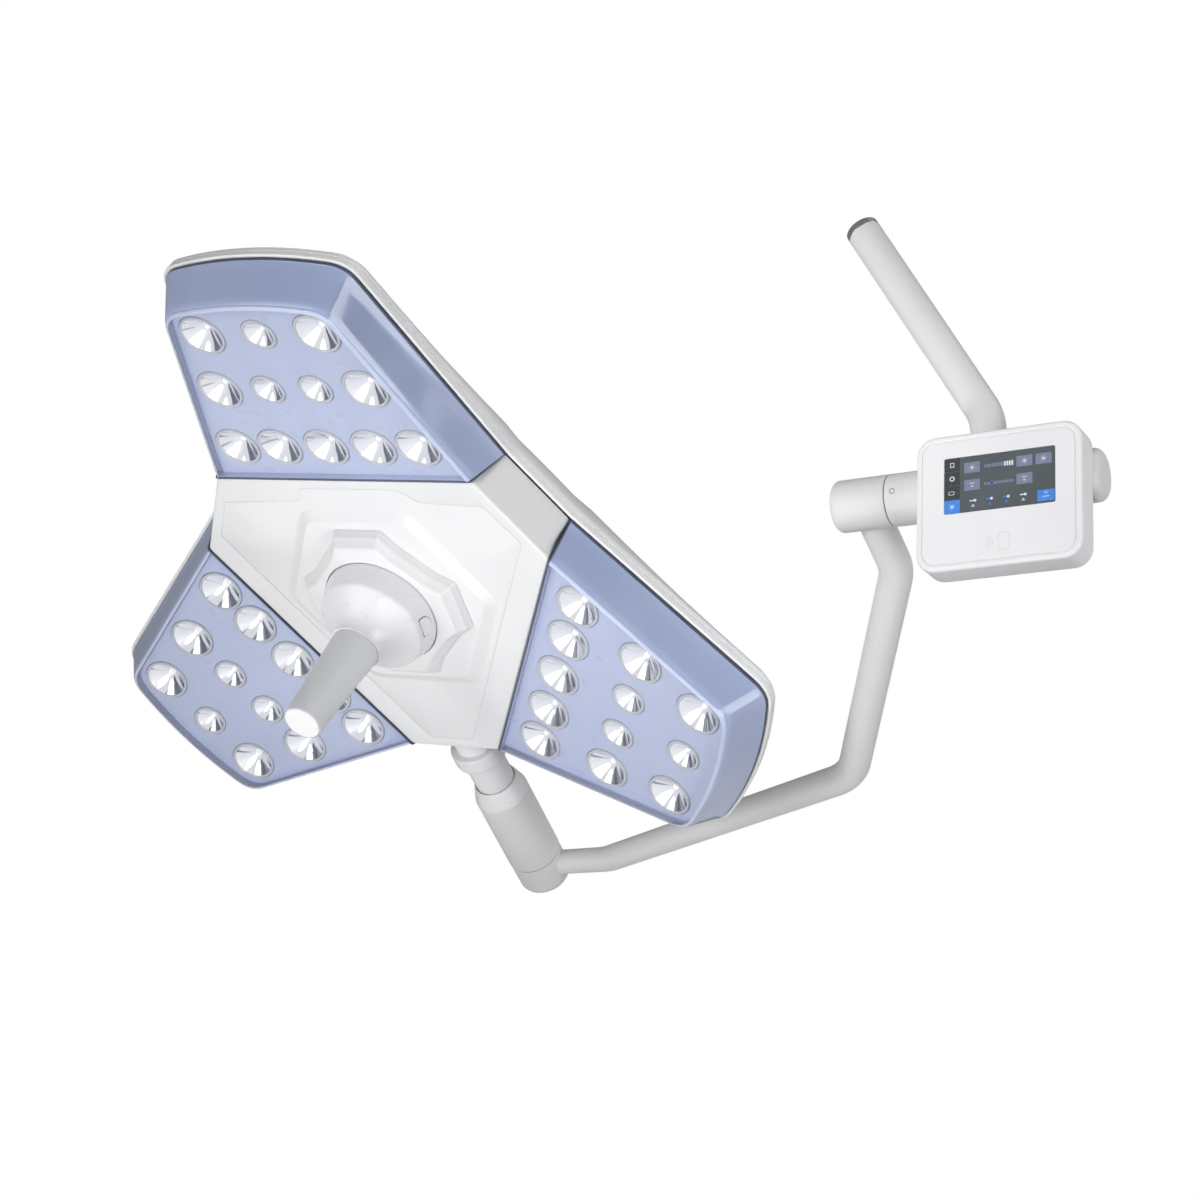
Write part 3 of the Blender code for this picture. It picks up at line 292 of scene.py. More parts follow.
def rounded(points, radius, steps=4, closed=True):
    """Round the corners of an outline or profile with small arcs, in millimetres."""
    points = [Vector(p) for p in points]
    count = len(points)
    result = []
    for i, corner in enumerate(points):
        if not closed and i in (0, count - 1):
            result.append(corner)
            continue
        back = points[i - 1] - corner
        ahead = points[(i + 1) % count] - corner
        reach = radius[i] if isinstance(radius, (list, tuple)) else radius
        reach = min(reach, back.length * 0.45, ahead.length * 0.45)
        if reach < 0.02:
            result.append(corner)
            continue
        start = corner + back.normalized() * reach
        end = corner + ahead.normalized() * reach
        for k in range(steps + 1):
            t = k / steps
            result.append(start * (1 - t) ** 2 + corner * 2 * t * (1 - t) + end * t ** 2)
    return result


def circle(radius, steps, centre=(0, 0)):
    return [(centre[0] + radius * math.cos(2 * math.pi * i / steps),
             centre[1] + radius * math.sin(2 * math.pi * i / steps)) for i in range(steps)]


def spun_rings(profile, steps, centre=(0, 0)):
    return [[(x, y, z) for x, y in circle(radius, steps, centre)] for radius, z in profile]


def spun(name, profile, edge, place, body, material, replaced=(), steps=96):
    """Turned piece with softened edges; profile of (radius, height) in millimetres."""
    soft = rounded(profile, edge, 4, closed=False)
    bm = bmesh.new()
    add_loft(bm, spun_rings(soft, steps))
    bmesh.ops.remove_doubles(bm, verts=bm.verts, dist=0.000002)
    return piece(name, finished(bm, name), place, body, [material], replaced)


def bent_route(corners, radius, steps=14):
    """Smooth route through a bent tube's corners, in millimetres."""
    points = [Vector(corners[0])]
    for before, corner, after in zip(corners, corners[1:], corners[2:]):
        before, corner, after = Vector(before), Vector(corner), Vector(after)
        back, ahead = (before - corner).normalized(), (after - corner).normalized()
        half = back.angle(ahead) / 2
        reach = radius / math.tan(half)
        centre = corner + (back + ahead).normalized() * (radius / math.sin(half))
        first, last = corner + back * reach - centre, corner + ahead * reach - centre
        sweep = first.angle(last)
        for i in range(steps + 1):
            t = i / steps * sweep
            points.append(centre + (first * math.sin(sweep - t) + last * math.sin(t)) / math.sin(sweep))
    points.append(Vector(corners[-1]))
    dense = [points[0]]
    for a, b in zip(points, points[1:]):
        pieces = max(1, int((b - a).length // 12))
        dense += [a.lerp(b, (i + 1) / pieces) for i in range(pieces)]
    return dense


def swept(name, route, radius_at, place, body, material, replaced, sides=48):
    """Round tube along a route that lies in the local XZ plane."""
    rings = []
    last = len(route) - 1
    across = Vector((0, 1, 0))
    for i, point in enumerate(route):
        ahead = (route[min(i + 1, last)] - route[max(i - 1, 0)]).normalized()
        up = ahead.cross(across)
        r = radius_at(i / last)
        ring = []
        for k in range(sides):
            a = 2 * math.pi * k / sides
            ring.append(point + across * (r * math.cos(a)) + up * (r * math.sin(a)))
        rings.append(ring)
    bm = bmesh.new()
    add_loft(bm, rings, cap_start=True, cap_end=True)
    return piece(name, finished(bm, name), place, body, [material], replaced)


def plate(name, outline, holes, low, high, place, body, material, replaced=(), edge=0.0):
    """Flat plate with holes between two heights, its edges softened."""
    curve = bpy.data.curves.new(name, "CURVE")
    curve.dimensions = "2D"
    curve.fill_mode = "BOTH"
    curve.extrude = ((high - low) / 2 - edge) * MM
    curve.bevel_depth = edge * MM
    curve.bevel_resolution = 2
    curve.offset = -edge * MM
    for loop in (outline, *holes):
        spline = curve.splines.new("POLY")
        spline.points.add(len(loop) - 1)
        for point, (x, y) in zip(spline.points, loop):
            point.co = (x * MM, y * MM, 0, 1)
        spline.use_cyclic_u = True
    temporary = bpy.data.objects.new(name + "_curve", curve)
    bpy.context.scene.collection.objects.link(temporary)
    depsgraph = bpy.context.evaluated_depsgraph_get()
    mesh = bpy.data.meshes.new_from_object(temporary.evaluated_get(depsgraph))
    bpy.data.objects.remove(temporary)
    mesh.transform(Matrix.Translation((0, 0, (low + high) / 2 * MM)))
    mesh.materials.clear()
    bm = bmesh.new()
    bm.from_mesh(mesh)
    bmesh.ops.remove_doubles(bm, verts=bm.verts, dist=0.000002)
    bm.to_mesh(mesh)
    bm.free()
    return piece(name, mesh, place, body, [material], replaced)


def rounded_box(left, right, low, high, radius, steps):
    outline = []
    centres = ((right - radius, high - radius), (left + radius, high - radius),
               (left + radius, low + radius), (right - radius, low + radius))
    for quarter, (x, y) in enumerate(centres):
        for i in range(steps + 1):
            angle = math.pi / 2 * (quarter + i / steps)
            outline.append((x + radius * math.cos(angle), y + radius * math.sin(angle)))
    return outline


# ---------------------------------------------------------------- petals

HUB_APOTHEM = 126
FACE_W, RIM_W = 6, -31
FACE = (128, 78, 324.5)              # half width at the hub, half width at the tip, reach
RIM = (141, 88, 341.5)
TIP_ARC_R = 350
BIG_CUP, SMALL_CUP = 20.5, 15.5
COVER_GAP = 1.7                      # clear cover to hub edge
# Cup rows as (distance from the hub, offset to the side, radius)
CUPS = [(162, v, BIG_CUP) for v in (-90, -47, 0, 47, 90)]
CUPS += [(228.8, v, r) for v, r in ((-72, BIG_CUP), (-23.6, SMALL_CUP), (23.6, SMALL_CUP), (72, BIG_CUP))]
CUPS += [(290, v, r) for v, r in ((-56, BIG_CUP), (0, SMALL_CUP), (56, BIG_CUP))]


def petal_half(shape, inset, start_u, corner=14, steps=12):
    """Upper half of a petal's outline, from the hub edge round to the middle of the tip."""
    half_in, half_out, reach = shape
    corner_u = reach - half_out ** 2 / (2 * TIP_ARC_R)
    side = Vector((corner_u - HUB_APOTHEM, half_out - half_in)).normalized()
    shift = inset / side.x
    reach -= inset

    def side_v(u):
        return half_in - shift + side.y / side.x * (u - HUB_APOTHEM)

    def arc_u(v):
        return reach - v * v / (2 * TIP_ARC_R)

    tip_v = side_v(corner_u - inset)
    tip = Vector((arc_u(tip_v), tip_v))
    on_side = tip - side * corner
    on_arc = Vector((arc_u(tip_v - corner), tip_v - corner))
    points = []
    for i in range(steps):
        u = start_u + (on_side.x - start_u) * i / steps
        points.append((u, side_v(u)))
    for i in range(9):
        t = i / 8
        p = on_side * (1 - t) ** 2 + tip * 2 * t * (1 - t) + on_arc * t ** 2
        points.append((p.x, p.y))
    for i in range(1, steps + 1):
        v = on_arc.y * (1 - i / steps)
        points.append((arc_u(v), v))
    return points


def hub_edge(w):
    """Distance from the head's axis to the hub's upright side at height w, in a petal's frame."""
    tilt = math.radians(PETAL_TILT)
    return (HUB_APOTHEM + w * math.sin(tilt)) / math.cos(tilt)


def petal_loop(shape, inset, w, hub_gap):
    """Open outline of a petal at height w, from one hub corner to the other."""
    upper = petal_half(shape, inset, hub_edge(w) + hub_gap)
    lower = [(u, -v) for u, v in reversed(upper[:-1])]
    return [(u, v, w) for u, v in upper + lower]


def blend_shape(t):
    """Petal shape part of the way up the cover's sloping wall: 0 at the rim, 1 at the face."""
    return tuple(a + (b - a) * t for a, b in zip(RIM, FACE))


def build_cover(k):
    """Moulded clear cover: tinted walls, a rounded shoulder in a lighter blue as a painted highlight, and
    a flat clear face.
    """
    rings = [petal_loop(RIM, -0.7, RIM_W + 1.0, COVER_GAP)]
    for t in (0.03, 0.25, 0.5, 0.75, 0.88):
        height = RIM_W + 1.4 + t * (FACE_W - RIM_W - 1.4)
        rings.append(petal_loop(blend_shape(t), 0, height, COVER_GAP))
    # Rows from here on get the lighter shoulder colour, a painted highlight.
    highlight_from = len(rings) + 1
    shoulder = 3.2
    for i in range(6):
        a = math.pi / 2 * i / 5
        inset = shoulder * (1 - math.cos(a)) - 0.7
        rings.append(petal_loop(FACE, inset, FACE_W - shoulder * (1 - math.sin(a)), COVER_GAP))
    bm = bmesh.new()
    walls = add_loft(bm, rings, open_loop=True)
    bm.faces.new(list(bm.verts)[-len(rings[-1]):]).material_index = 1
    bmesh.ops.remove_doubles(bm, verts=bm.verts, dist=0.000002)
    count = len(rings[0]) - 1
    for i, face in enumerate(walls):
        if i // count >= highlight_from:
            face.material_index = 2
    piece(f"petal_cover_{k}", finished(bm, "petal_cover"), PETAL[k], "head",
          [cover_blue, cover_face, cover_edge_highlight], [f"lens_cover_{k}"], 40)


def build_seal(k):
    """Dark gasket line along the rim, with the upright strip against the hub."""
    bm = bmesh.new()
    low, high = RIM_W - 1.6, RIM_W + 0.9
    section = ((3.5, low), (-0.6, low), (-1.0, low + 0.5), (-1.0, high - 0.5), (-0.7, high), (0.2, high))
    add_loft(bm, [petal_loop(RIM, inset, w, 0.6) for inset, w in section], open_loop=True)
    strip = []
    outline = [(FACE[0] + 0.1, FACE_W + 0.25), (RIM[0] + 0.6, high - 0.4), (RIM[0] + 0.6, low)]
    outline = [*outline, *[(-v, w) for v, w in reversed(outline)]]
    soft = rounded(outline, 2.2, 4)
    for gap, grow in ((0.4, -0.3), (0.5, 0), (1.3, 0), (1.5, -0.3)):
        strip.append([(hub_edge(w) + gap, v + math.copysign(grow, v), w + grow) for v, w in soft])
    add_loft(bm, strip, cap_start=True, cap_end=True)
    piece(f"petal_seal_{k}", finished(bm, "petal_seal"), PETAL[k], "head", [seal_rubber],
          [f"cover_seal_{k}"])


def build_mask(k):
    """Blue plate with a round hole for each reflector, and its lip against the hub."""
    outline = [(u, v) for u, v, _ in petal_loop(FACE, -1.5, -2, 1.9)]
    holes = [circle(r + 0.45, 48, (u, v)) for u, v, r in CUPS]
    plate(f"petal_mask_{k}", outline, holes, -3, -1, PETAL[k], "head", mask_blue,
          [f"led_mask_{k}"], edge=0.25)
    corners = ((126.5, 4.4), (129, -2.5), (-129, -2.5), (-126.5, 4.4))
    rings = [[(hub_edge(w) + gap, v, w) for v, w in corners] for gap in (1.55, 2.1)]
    bm = bmesh.new()
    add_loft(bm, rings, cap_start=True, cap_end=True)
    piece(f"petal_mask_lip_{k}", finished(bm, "petal_mask_lip"), PETAL[k], "head", [mask_blue])


def build_reflectors(k):
    """Bright shallow cups with a satin rim and an LED dome at the bottom of each."""
    bm = bmesh.new()
    for u, v, r in CUPS:
        section = [(r - 2.9, -3.5), (r - 2.7, -0.5), (r - 2.0, 0.5), (r - 0.7, 0.5), (r, -0.6), (r, -3.0)]
        rim = rounded(section, 0.7, 3, closed=False)
        add_loft(bm, spun_rings(rim, 48, centre=(u, v)), slot=1)
        throat, mouth, depth, brim = r * 0.13, r - 2.7, r * 0.52, -0.9
        wall = []
        for i in range(9):
            t = i / 8
            wall.append((mouth + (throat - mouth) * t, brim - depth * (1 - (1 - t) ** 1.25)))
        add_loft(bm, spun_rings(wall, 72, centre=(u, v)), slot=0)
        floor = brim - depth
        dome = [(throat + 0.1, floor - 0.2)]
        for i in range(7):
            a = math.pi / 2 * i / 6
            dome.append((throat * 0.85 * math.cos(a) + 0.01, floor + 2.2 * math.sin(a)))
        add_loft(bm, spun_rings(dome, 24, centre=(u, v)), slot=2)
    piece(f"petal_reflectors_{k}", finished(bm, "petal_reflectors"), PETAL[k], "head",
          [chrome, cup_rim, phosphor], [f"reflector_array_{k}"], 30)


for number in PETALS:
    build_cover(number)
    build_seal(number)
    build_mask(number)
    build_reflectors(number)


# ---------------------------------------------------------------- rear shell

HUB_RIM = -13.1
BETWEEN = (30, 150, 270)             # directions of the gaps between petals
# Rolled rim and the line round the shell, as (offset of the head's outline, drop below the rim)
SHELL_RIM = ((1.4, 12), (1.4, 0.9), (1.4, 0.1), (2.1, -0.4), (3.8, -0.4), (4.6, 0.2), (4.8, 1.2),
             (4.8, 4.2), (4.1, 4.7), (4.1, 5.6), (4.8, 6.1), (4.8, 8.5))
# Back of the shell, as (scale of its outline, share of the bulge)
SHELL_BACK = ((1.0, 0.03), (0.997, 0.08), (0.99, 0.18), (0.975, 0.30), (0.95, 0.45), (0.92, 0.57),
              (0.87, 0.70), (0.80, 0.81), (0.72, 0.885), (0.62, 0.94), (0.50, 0.975), (0.38, 0.99),
              (0.25, 1.0), (0.12, 1.0))


def petal_distance(x, y):
    """Distance from the head's axis along the direction of the nearest petal."""
    return max(x * math.cos(math.radians(a)) + y * math.sin(math.radians(a)) for a in PETALS.values())


def head_outline(offset):
    """Outline of the whole head at the covers' rim, moved out by an offset."""
    points = []
    for angle in AROUND:
        turn = Matrix.Rotation(math.radians(angle), 2)
        upper = petal_half(RIM, -offset, HUB_APOTHEM, 16, 10)
        lower = [(u, -v) for u, v in reversed(upper[:-1])]
        points += [turn @ Vector(p) for p in reversed(upper + lower)]
    return points


def bridged(points):
    """Fill the three short hub sides between petals with evenly spaced points."""
    result = []
    for i, point in enumerate(points):
        result.append(point)
        following = points[(i + 1) % len(points)]
        gap = (following - point).length
        if gap > 30:
            result += [point.lerp(following, j / 8) for j in range(1, 8)]
    return result


def shell_bulge(reach):
    """Depth of the rear shell behind its rim, greatest in the middle."""
    return 15 + 36 / (1 + (reach / 215) ** 6)


def shell_depth(reach):
    """Height of the rear shell's outer face near its middle."""
    return HUB_RIM - 9 - shell_bulge(reach) * 0.99


def build_rear_shell():
    rise = math.tan(math.radians(PETAL_TILT))

    def rim_height(point):
        return HUB_RIM + rise * max(0, petal_distance(point.x, point.y) - HUB_APOTHEM)

    rings = []
    for offset, drop in SHELL_RIM:
        outline = bridged(head_outline(offset))
        rings.append([(p.x, p.y, rim_height(p) - drop) for p in outline])
    for scale, share in SHELL_BACK:
        shrunk = [point * scale for point in outline]
        rings.append([(p.x, p.y, rim_height(p) - 9 - share * shell_bulge(p.length)) for p in shrunk])
    bm = bmesh.new()
    add_loft(bm, rings, cap_end=True)
    piece("rear_housing", finished(bm, "rear_housing"), HEAD, "head", [shell_white], ["rear_shell"],
          40)


def build_rear_cap():
    cap = [(40, -71), (42, -72), (41, -76), (37, -77.3), (0.01, -77.5)]
    spun("rear_service_cap", cap, 1.5, HEAD, "head", trim_grey, ["rear_cap"])


def build_vents():
    """Groups of five slots in the back, between the petals, filled with painted shade."""
    bm = bmesh.new()
    slot = rounded_box(-26, 26, -1.6, 1.6, 1.55, 5)
    for angle in BETWEEN:
        turn = placed(z=angle)
        for reach in range(95, 128, 8):
            skin = shell_depth(reach)
            loops = [[turn @ Vector((reach + y, x, z)) for x, y in slot] for z in (skin - 0.15, skin + 4)]
            add_loft(bm, loops, cap_start=True, cap_end=True)
    piece("rear_vent_slots", finished(bm, "rear_vent_slots"), HEAD, "head", [gap_shade])


build_rear_shell()
build_rear_cap()
build_vents()


# ---------------------------------------------------------------- hub

HUB_SIDE = 125.6                     # hub moulding's own apothem, just inside the petals


def reach_of(polygon, angle):
    """Distance from the centre to a star-shaped outline along a direction."""
    direction = Vector((math.cos(angle), math.sin(angle)))
    best = None
    count = len(polygon)
    for i in range(count):
        a, b = Vector(polygon[i]), Vector(polygon[(i + 1) % count])
        edge = b - a
        cross = direction.x * edge.y - direction.y * edge.x
        if abs(cross) < 1e-9:
            continue
        along = (a.x * edge.y - a.y * edge.x) / cross
        across = (a.x * direction.y - a.y * direction.x) / cross
        if along > 0 and -1e-6 <= across <= 1 + 1e-6:
            best = along if best is None else max(best, along)
    return best


def polar_rings(levels, steps):
    """Rings of a form whose levels are all star-shaped outlines: (outline, extra reach, height)."""
    rings = []
    for outline, extra, z in levels:
        ring = []
        for i in range(steps):
            a = 2 * math.pi * (i + 0.5) / steps
            r = extra if outline is None else reach_of(outline, a) + extra
            ring.append((r * math.cos(a), r * math.sin(a), z))
        rings.append(ring)
    return rings


def hub_polygon(half):
    """Hub outline with three long petal edges and three short ones."""
    points = []
    for angle in AROUND:
        turn = Matrix.Rotation(math.radians(angle), 2)
        points += [turn @ Vector((HUB_SIDE, -half)), turn @ Vector((HUB_SIDE, half))]
    return rounded(points, 2.5, 5)


def hexagon(radius, corner):
    """Outline of the raised platform."""
    points = [(radius * math.cos(math.radians(60 * i)), radius * math.sin(math.radians(60 * i)))
              for i in range(6)]
    return rounded(points, corner, 5)


def groove_polygon():
    """Recessed line on the hub face, with a tab towards the first petal."""
    right = [(150, 68.5), (129.6, 101), (69, 104), (52, 117)]
    left = [(-48, 117), (-50, 104), (-133, 100), (-149, 69)]
    points = right + left
    for angle in (120, 240):
        turn = Matrix.Rotation(math.radians(angle), 2)
        points += [turn @ Vector(p) for p in ((149, 69), (131, 101), (-131, 101), (-149, 69))]
    points.sort(key=lambda p: math.atan2(p[1], p[0]))
    return rounded(points, 7, 5)


def build_hub():
    rim = hub_polygon(140.2)
    face = hub_polygon(127.7)
    groove = groove_polygon()
    base = hexagon(108, 12)
    top = hexagon(98, 9)
    levels = [(rim, 0, -13.2), (rim, 0, -12), (face, 0.9, 22.6), (face, 0.55, 24.2), (face, 0, 25.3),
              (face, -0.9, 25.9), (face, -2.0, 26.0),
              (groove, 0.75, 26.0), (groove, 0.45, 25.9), (groove, 0.25, 25.3), (groove, -0.25, 25.3),
              (groove, -0.45, 25.9), (groove, -0.75, 26.0),
              (base, 2.5, 26.0), (base, 1.2, 26.1), (base, 0, 26.6), (top, 1.3, 30.2), (top, 0.5, 30.8),
              (top, -0.8, 31.0), (None, 80, 31.0), (None, 60, 31.0), (None, 40, 31.0), (None, 38, 28.0)]
    bm = bmesh.new()
    add_loft(bm, polar_rings(levels, 720))
    piece("hub_moulding", finished(bm, "hub_moulding"), HEAD, "head", [hub_white], ["hub_cover"],
          50)


def nut_polygon(scale):
    """Twelve-sided outline of the clamp nut, one quarter turned four times."""
    quarter = [(20.5, 66.5), (-20.5, 66.5), (-29, 53), (-53, 29)]
    points = []
    for i in range(4):
        turn = Matrix.Rotation(math.radians(90 * i), 2)
        points += [turn @ Vector(p) * scale for p in quarter]
    return rounded(points, 2, 4)


def build_nut():
    low, band, top, front = (nut_polygon(scale) for scale in (1.165, 1.13, 1.03, 1.0))
    levels = [(low, 0, 31.2), (low, 0.2, 31.6), (band, 0, 36.4), (band, -0.2, 37.3), (band, -0.7, 38.0),
              (top, 0.3, 43.2), (top, 0, 43.9), (front, 0.4, 44.7), (front, -0.4, 45.0),
              (None, 54.2, 45.0), (None, 53.6, 44.9), (None, 53.2, 44.5), (None, 53.1, 36)]
    bm = bmesh.new()
    add_loft(bm, polar_rings(levels, 480))
    piece("clamp_nut", finished(bm, "clamp_nut"), HEAD, "head", [hub_white], ["nut_ring"],
          40)


build_hub()
build_nut()


# ---------------------------------------------------------------- handle

def build_disc():
    """Disc of the handle with its flare up to the grip."""
    outer = [(21.4, 93.2), (22.5, 93.2), (22.6, 91.5), (23.3, 88.8), (26, 83.5), (31, 77.8), (37.5, 72.2),
             (43.6, 67.6), (46.9, 64.6), (52.4, 45.4), (52.4, 38)]
    corners = [0, 0.4, 0.8, 2, 4, 5, 6, 6, 2.0, 1.2, 0]
    soft = rounded(outer, corners, 6, closed=False)
    bm = bmesh.new()
    add_loft(bm, spun_rings(soft, 128))
    piece("handle_disc", finished(bm, "handle_disc"), HEAD, "handle", [handle_white], ["handle_base"],
          40)


def build_grip():
    """Tapered sterile grip with its white tip."""
    grip = [(21.3, 84), (21.3, 92), (21.2, 96), (18.8, 140), (16.6, 184.5), (16.4, 187.2), (15.4, 188.0)]
    spun("handle_grip", rounded(grip, 2, 4, closed=False), 0.4, HEAD, "handle", grip_grey,
         ["sterile_grip"])
    tip = [(15.5, 187.6), (15.2, 187.9), (14.6, 187.75), (8, 187.95), (0.01, 188.0)]
    spun("grip_tip", tip, 0.3, HEAD, "handle", tip_white)


def build_release():
    """D-shaped button in the disc's slanted side, with painted shade in the gap round it."""
    lean = math.degrees(math.atan2(5.5, 20))
    at = HEAD @ placed(z=-5) @ placed((49.75, 0, 55), y=90 - lean)
    half = 9
    outline = [(-5, -half), (-5, half)]
    for i in range(13):
        a = math.radians(90 - 180 * i / 12)
        outline.append((-1 + 7 * math.cos(a), half * math.sin(a)))
    soft = rounded(outline[::-1], 1.2, 4)
    bm = bmesh.new()
    loops = []
    for grow, z in ((0, -8), (0, 0.2), (-0.15, 0.55), (-0.5, 0.78), (-1.1, 0.85), (-3.0, 0.65)):
        loops.append([((x * (1 + grow / 8)), y * (1 + grow / 9), z) for x, y in soft])
    add_loft(bm, loops, cap_end=True)
    piece("handle_release", finished(bm, "handle_release"), at, "release_button", [handle_white],
          ["release_button"])
    # A near-black ring in the gap round the button: painted shade.
    ring = []
    for grow, z in ((0.2, -0.6), (0.2, 0.1), (0.42, 0.1), (0.42, -0.6)):
        ring.append([((x * (1 + grow / 6)), y * (1 + grow / 9), z) for x, y in soft])
    bm = bmesh.new()
    add_loft(bm, ring, closed=True)
    piece("release_gap_shade", finished(bm, "release_gap_shade"), at, "handle", [gap_shade])


build_disc()
build_grip()
build_release()


# ---------------------------------------------------------------- neck and yoke

# Along the hinge axis, to the right of its crossing with the neck axis
SLEEVE_END, HINGE_GAP, BARREL_END = 421, 467, 627
HINGE_R = 20.5
YOKE_ROUTE = [(446, 0, -12), (446, 0, -72), (323, 0, -309), (44, 0, -400), (-14, 0, -400)]


def yoke_radius(t):
    """The yoke's tube narrows over its lower half."""
    return 13.7 - 2.2 * max(0, t * 2 - 1)


def build_neck():
    spun("neck_tube", [(0.01, -180), (18.4, -180), (18.4, -284), (0.01, -284)], 0.8, NECK_TURN, "head",
         shell_white, ["neck_spindle"])
    root = [(18.6, -228), (24, -228), (24.5, -230), (24.5, -242), (23.4, -245.5), (20.4, -248.5),
            (18.6, -249)]
    spun("neck_flange", root, 0.8, NECK_TURN, "head", handle_white, ["neck_root_ring"])


def build_lower_barrel():
    collar = [(19.2, -278.8), (20.4, -279), (25.2, -294.6), (25.5, -296), (25.5, -298.4), (25.0, -299.0),
              (19.4, -299.0)]
    spun("barrel_collar", collar, 0.5, NECK, "yoke", handle_white, ["neck_collar"])
    barrel = [(19.5, -299.2), (24.9, -299.3), (25.3, -299.8), (25.4, -301), (25.4, -383), (25.1, -383.6),
              (24.6, -383.9), (19.5, -384)]
    spun("barrel_body", barrel, 0.3, NECK, "yoke", arm_white, ["lower_barrel"])
    cap = [(19.5, -384.1), (24.5, -384.2), (24.9, -384.5), (25.0, -385.2), (25.0, -411)]
    for i in range(1, 9):
        a = math.pi / 2 * i / 8
        cap.append((16 + 9 * math.cos(a), -411.6 - 9.2 * math.sin(a)))
    cap.append((0.01, -420.9))
    spun("barrel_cap", cap, 0.2, NECK, "yoke", arm_white, ["lower_end_cap"])
    # Near-black ring in the joint between barrel and cap: painted shade in the seam.
    seam = [(24.0, -383.5), (24.85, -383.7), (24.85, -384.5), (24.0, -384.6)]
    spun("barrel_seam_shade", seam, 0.1, NECK, "yoke", gap_shade)


def build_yoke():
    swept("yoke_bar", bent_route(YOKE_ROUTE, 48), yoke_radius, YOKE, "yoke", arm_white, ["yoke_tube"])
    round_end = 5
    flat = HINGE_R - round_end
    sleeve = [(0.01, SLEEVE_END), (flat, SLEEVE_END + 0.1)]
    for i in range(1, 8):
        a = math.pi / 2 * i / 7
        sleeve.append((flat + round_end * math.sin(a), SLEEVE_END + round_end * (1 - math.cos(a))))
    sleeve += [(HINGE_R, HINGE_GAP - 1), (20.2, HINGE_GAP - 0.5), (19.5, HINGE_GAP - 0.35),
               (16, HINGE_GAP - 0.3)]
    spun("hinge_sleeve", sleeve, 0.3, YOKE @ ALONG_X, "yoke", arm_white, ["yoke_sleeve"])
    # Near-black ring in the gap between the hinge's two halves: painted shade in the seam.
    seam = [(19.2, HINGE_GAP - 0.8), (20.0, HINGE_GAP - 0.6), (20.0, HINGE_GAP + 0.3),
            (19.2, HINGE_GAP + 0.5)]
    spun("hinge_seam_shade", seam, 0.1, GIMBAL @ ALONG_X, "fixed_arm", gap_shade)


build_neck()
build_lower_barrel()
build_yoke()


# ---------------------------------------------------------------- fixed arm

ARM_X, ARM_BEND = 544, 57            # upright stub of the drop tube and the height of its bend
ARM_R = 13.75
PLUG_LENGTH = 6.2


def build_hinge():
    """Fixed half of the yoke's hinge: barrel, domed cap and grub screw."""
    barrel = [(17, HINGE_GAP + 0.1), (20.0, HINGE_GAP + 0.2), (20.4, HINGE_GAP + 0.6),
              (HINGE_R, HINGE_GAP + 1.4), (HINGE_R, BARREL_END - 0.6), (20.3, BARREL_END - 0.1),
              (17, BARREL_END)]
    spun("hinge_barrel", barrel, 0.3, GIMBAL @ ALONG_X, "fixed_arm", arm_white, ["fixed_barrel"])
    cap = [(17, BARREL_END + 0.2), (20.2, BARREL_END + 0.3), (20.4, BARREL_END + 0.6)]
    for i in range(9):
        a = math.pi / 2 * i / 8
        cap.append((12.5 + 7.9 * math.cos(a), BARREL_END + 0.8 + 7.1 * math.sin(a)))
    cap.append((0.01, BARREL_END + 8))
    spun("hinge_cap", cap, 0.2, GIMBAL @ ALONG_X, "fixed_arm", arm_white, ["barrel_end_cap"])
    at = GIMBAL @ placed((HINGE_GAP + 7, 0, 0), x=90)
    # The grub screw and the wall of its hole are near-black: painted shade for the small hollow.
    screw = [(0.01, 18.8), (0.75, 18.8), (0.9, 19.5), (1.4, 19.6), (1.6, 19.3), (1.6, 17)]
    spun("grub_screw", screw, 0.1, at, "fixed_arm", screw_painted_shade, ["axle_set_screw"], steps=32)
    hole = [(1.7, 19.9), (1.75, 20.53), (2.25, 20.56), (2.3, 19.8)]
    spun("grub_hole_shade", hole, 0.05, at, "fixed_arm", gap_shade, steps=32)


def build_drop_tube():
    """Bent tube down to the hinge, with the steel plug in its cut end."""
    end = Vector((ARM_REACH, 0, ARM_DROP))
    bend = Vector((ARM_X, 0, ARM_BEND))
    up = (end - bend).normalized()
    route = bent_route([end - up * PLUG_LENGTH, bend, (ARM_X, 0, 12)], 45, 18)
    swept("arm_tube", route, lambda t: ARM_R, GIMBAL, "fixed_arm", arm_white, ["drop_tube"],
          64)
    lean = math.degrees(math.atan2(up.x, up.z))
    plug = [(0.01, 0), (12.9, 0), (13.6, -0.5), (13.7, -5.6), (13.3, -6.1), (11, -PLUG_LENGTH)]
    spun("arm_end_plug", plug, 0.3, GIMBAL @ placed(end, y=lean), "fixed_arm", steel, ["arm_end_fitting"])


build_hinge()
build_drop_tube()


# ---------------------------------------------------------------- control panel

UPRIGHT = GIMBAL @ placed(x=90)      # X to the right, Y up, Z out of the panel's front
LEFT, RIGHT, LOW, HIGH = 503, 631, -77.5, 29
BACK, FRONT = 15, 45
CASE_CORNER = 15
SCREEN = (525, 611, -34, 10.4)       # left, right, low, high
GLASS = FRONT - 0.45
MARK_THICK = 0.05


def inset_box(amount):
    """The panel's outline moved in, its corner radius shrinking with it."""
    return rounded_box(LEFT + amount, RIGHT - amount, LOW + amount, HIGH - amount,
                       CASE_CORNER - amount * 0.9, 10)


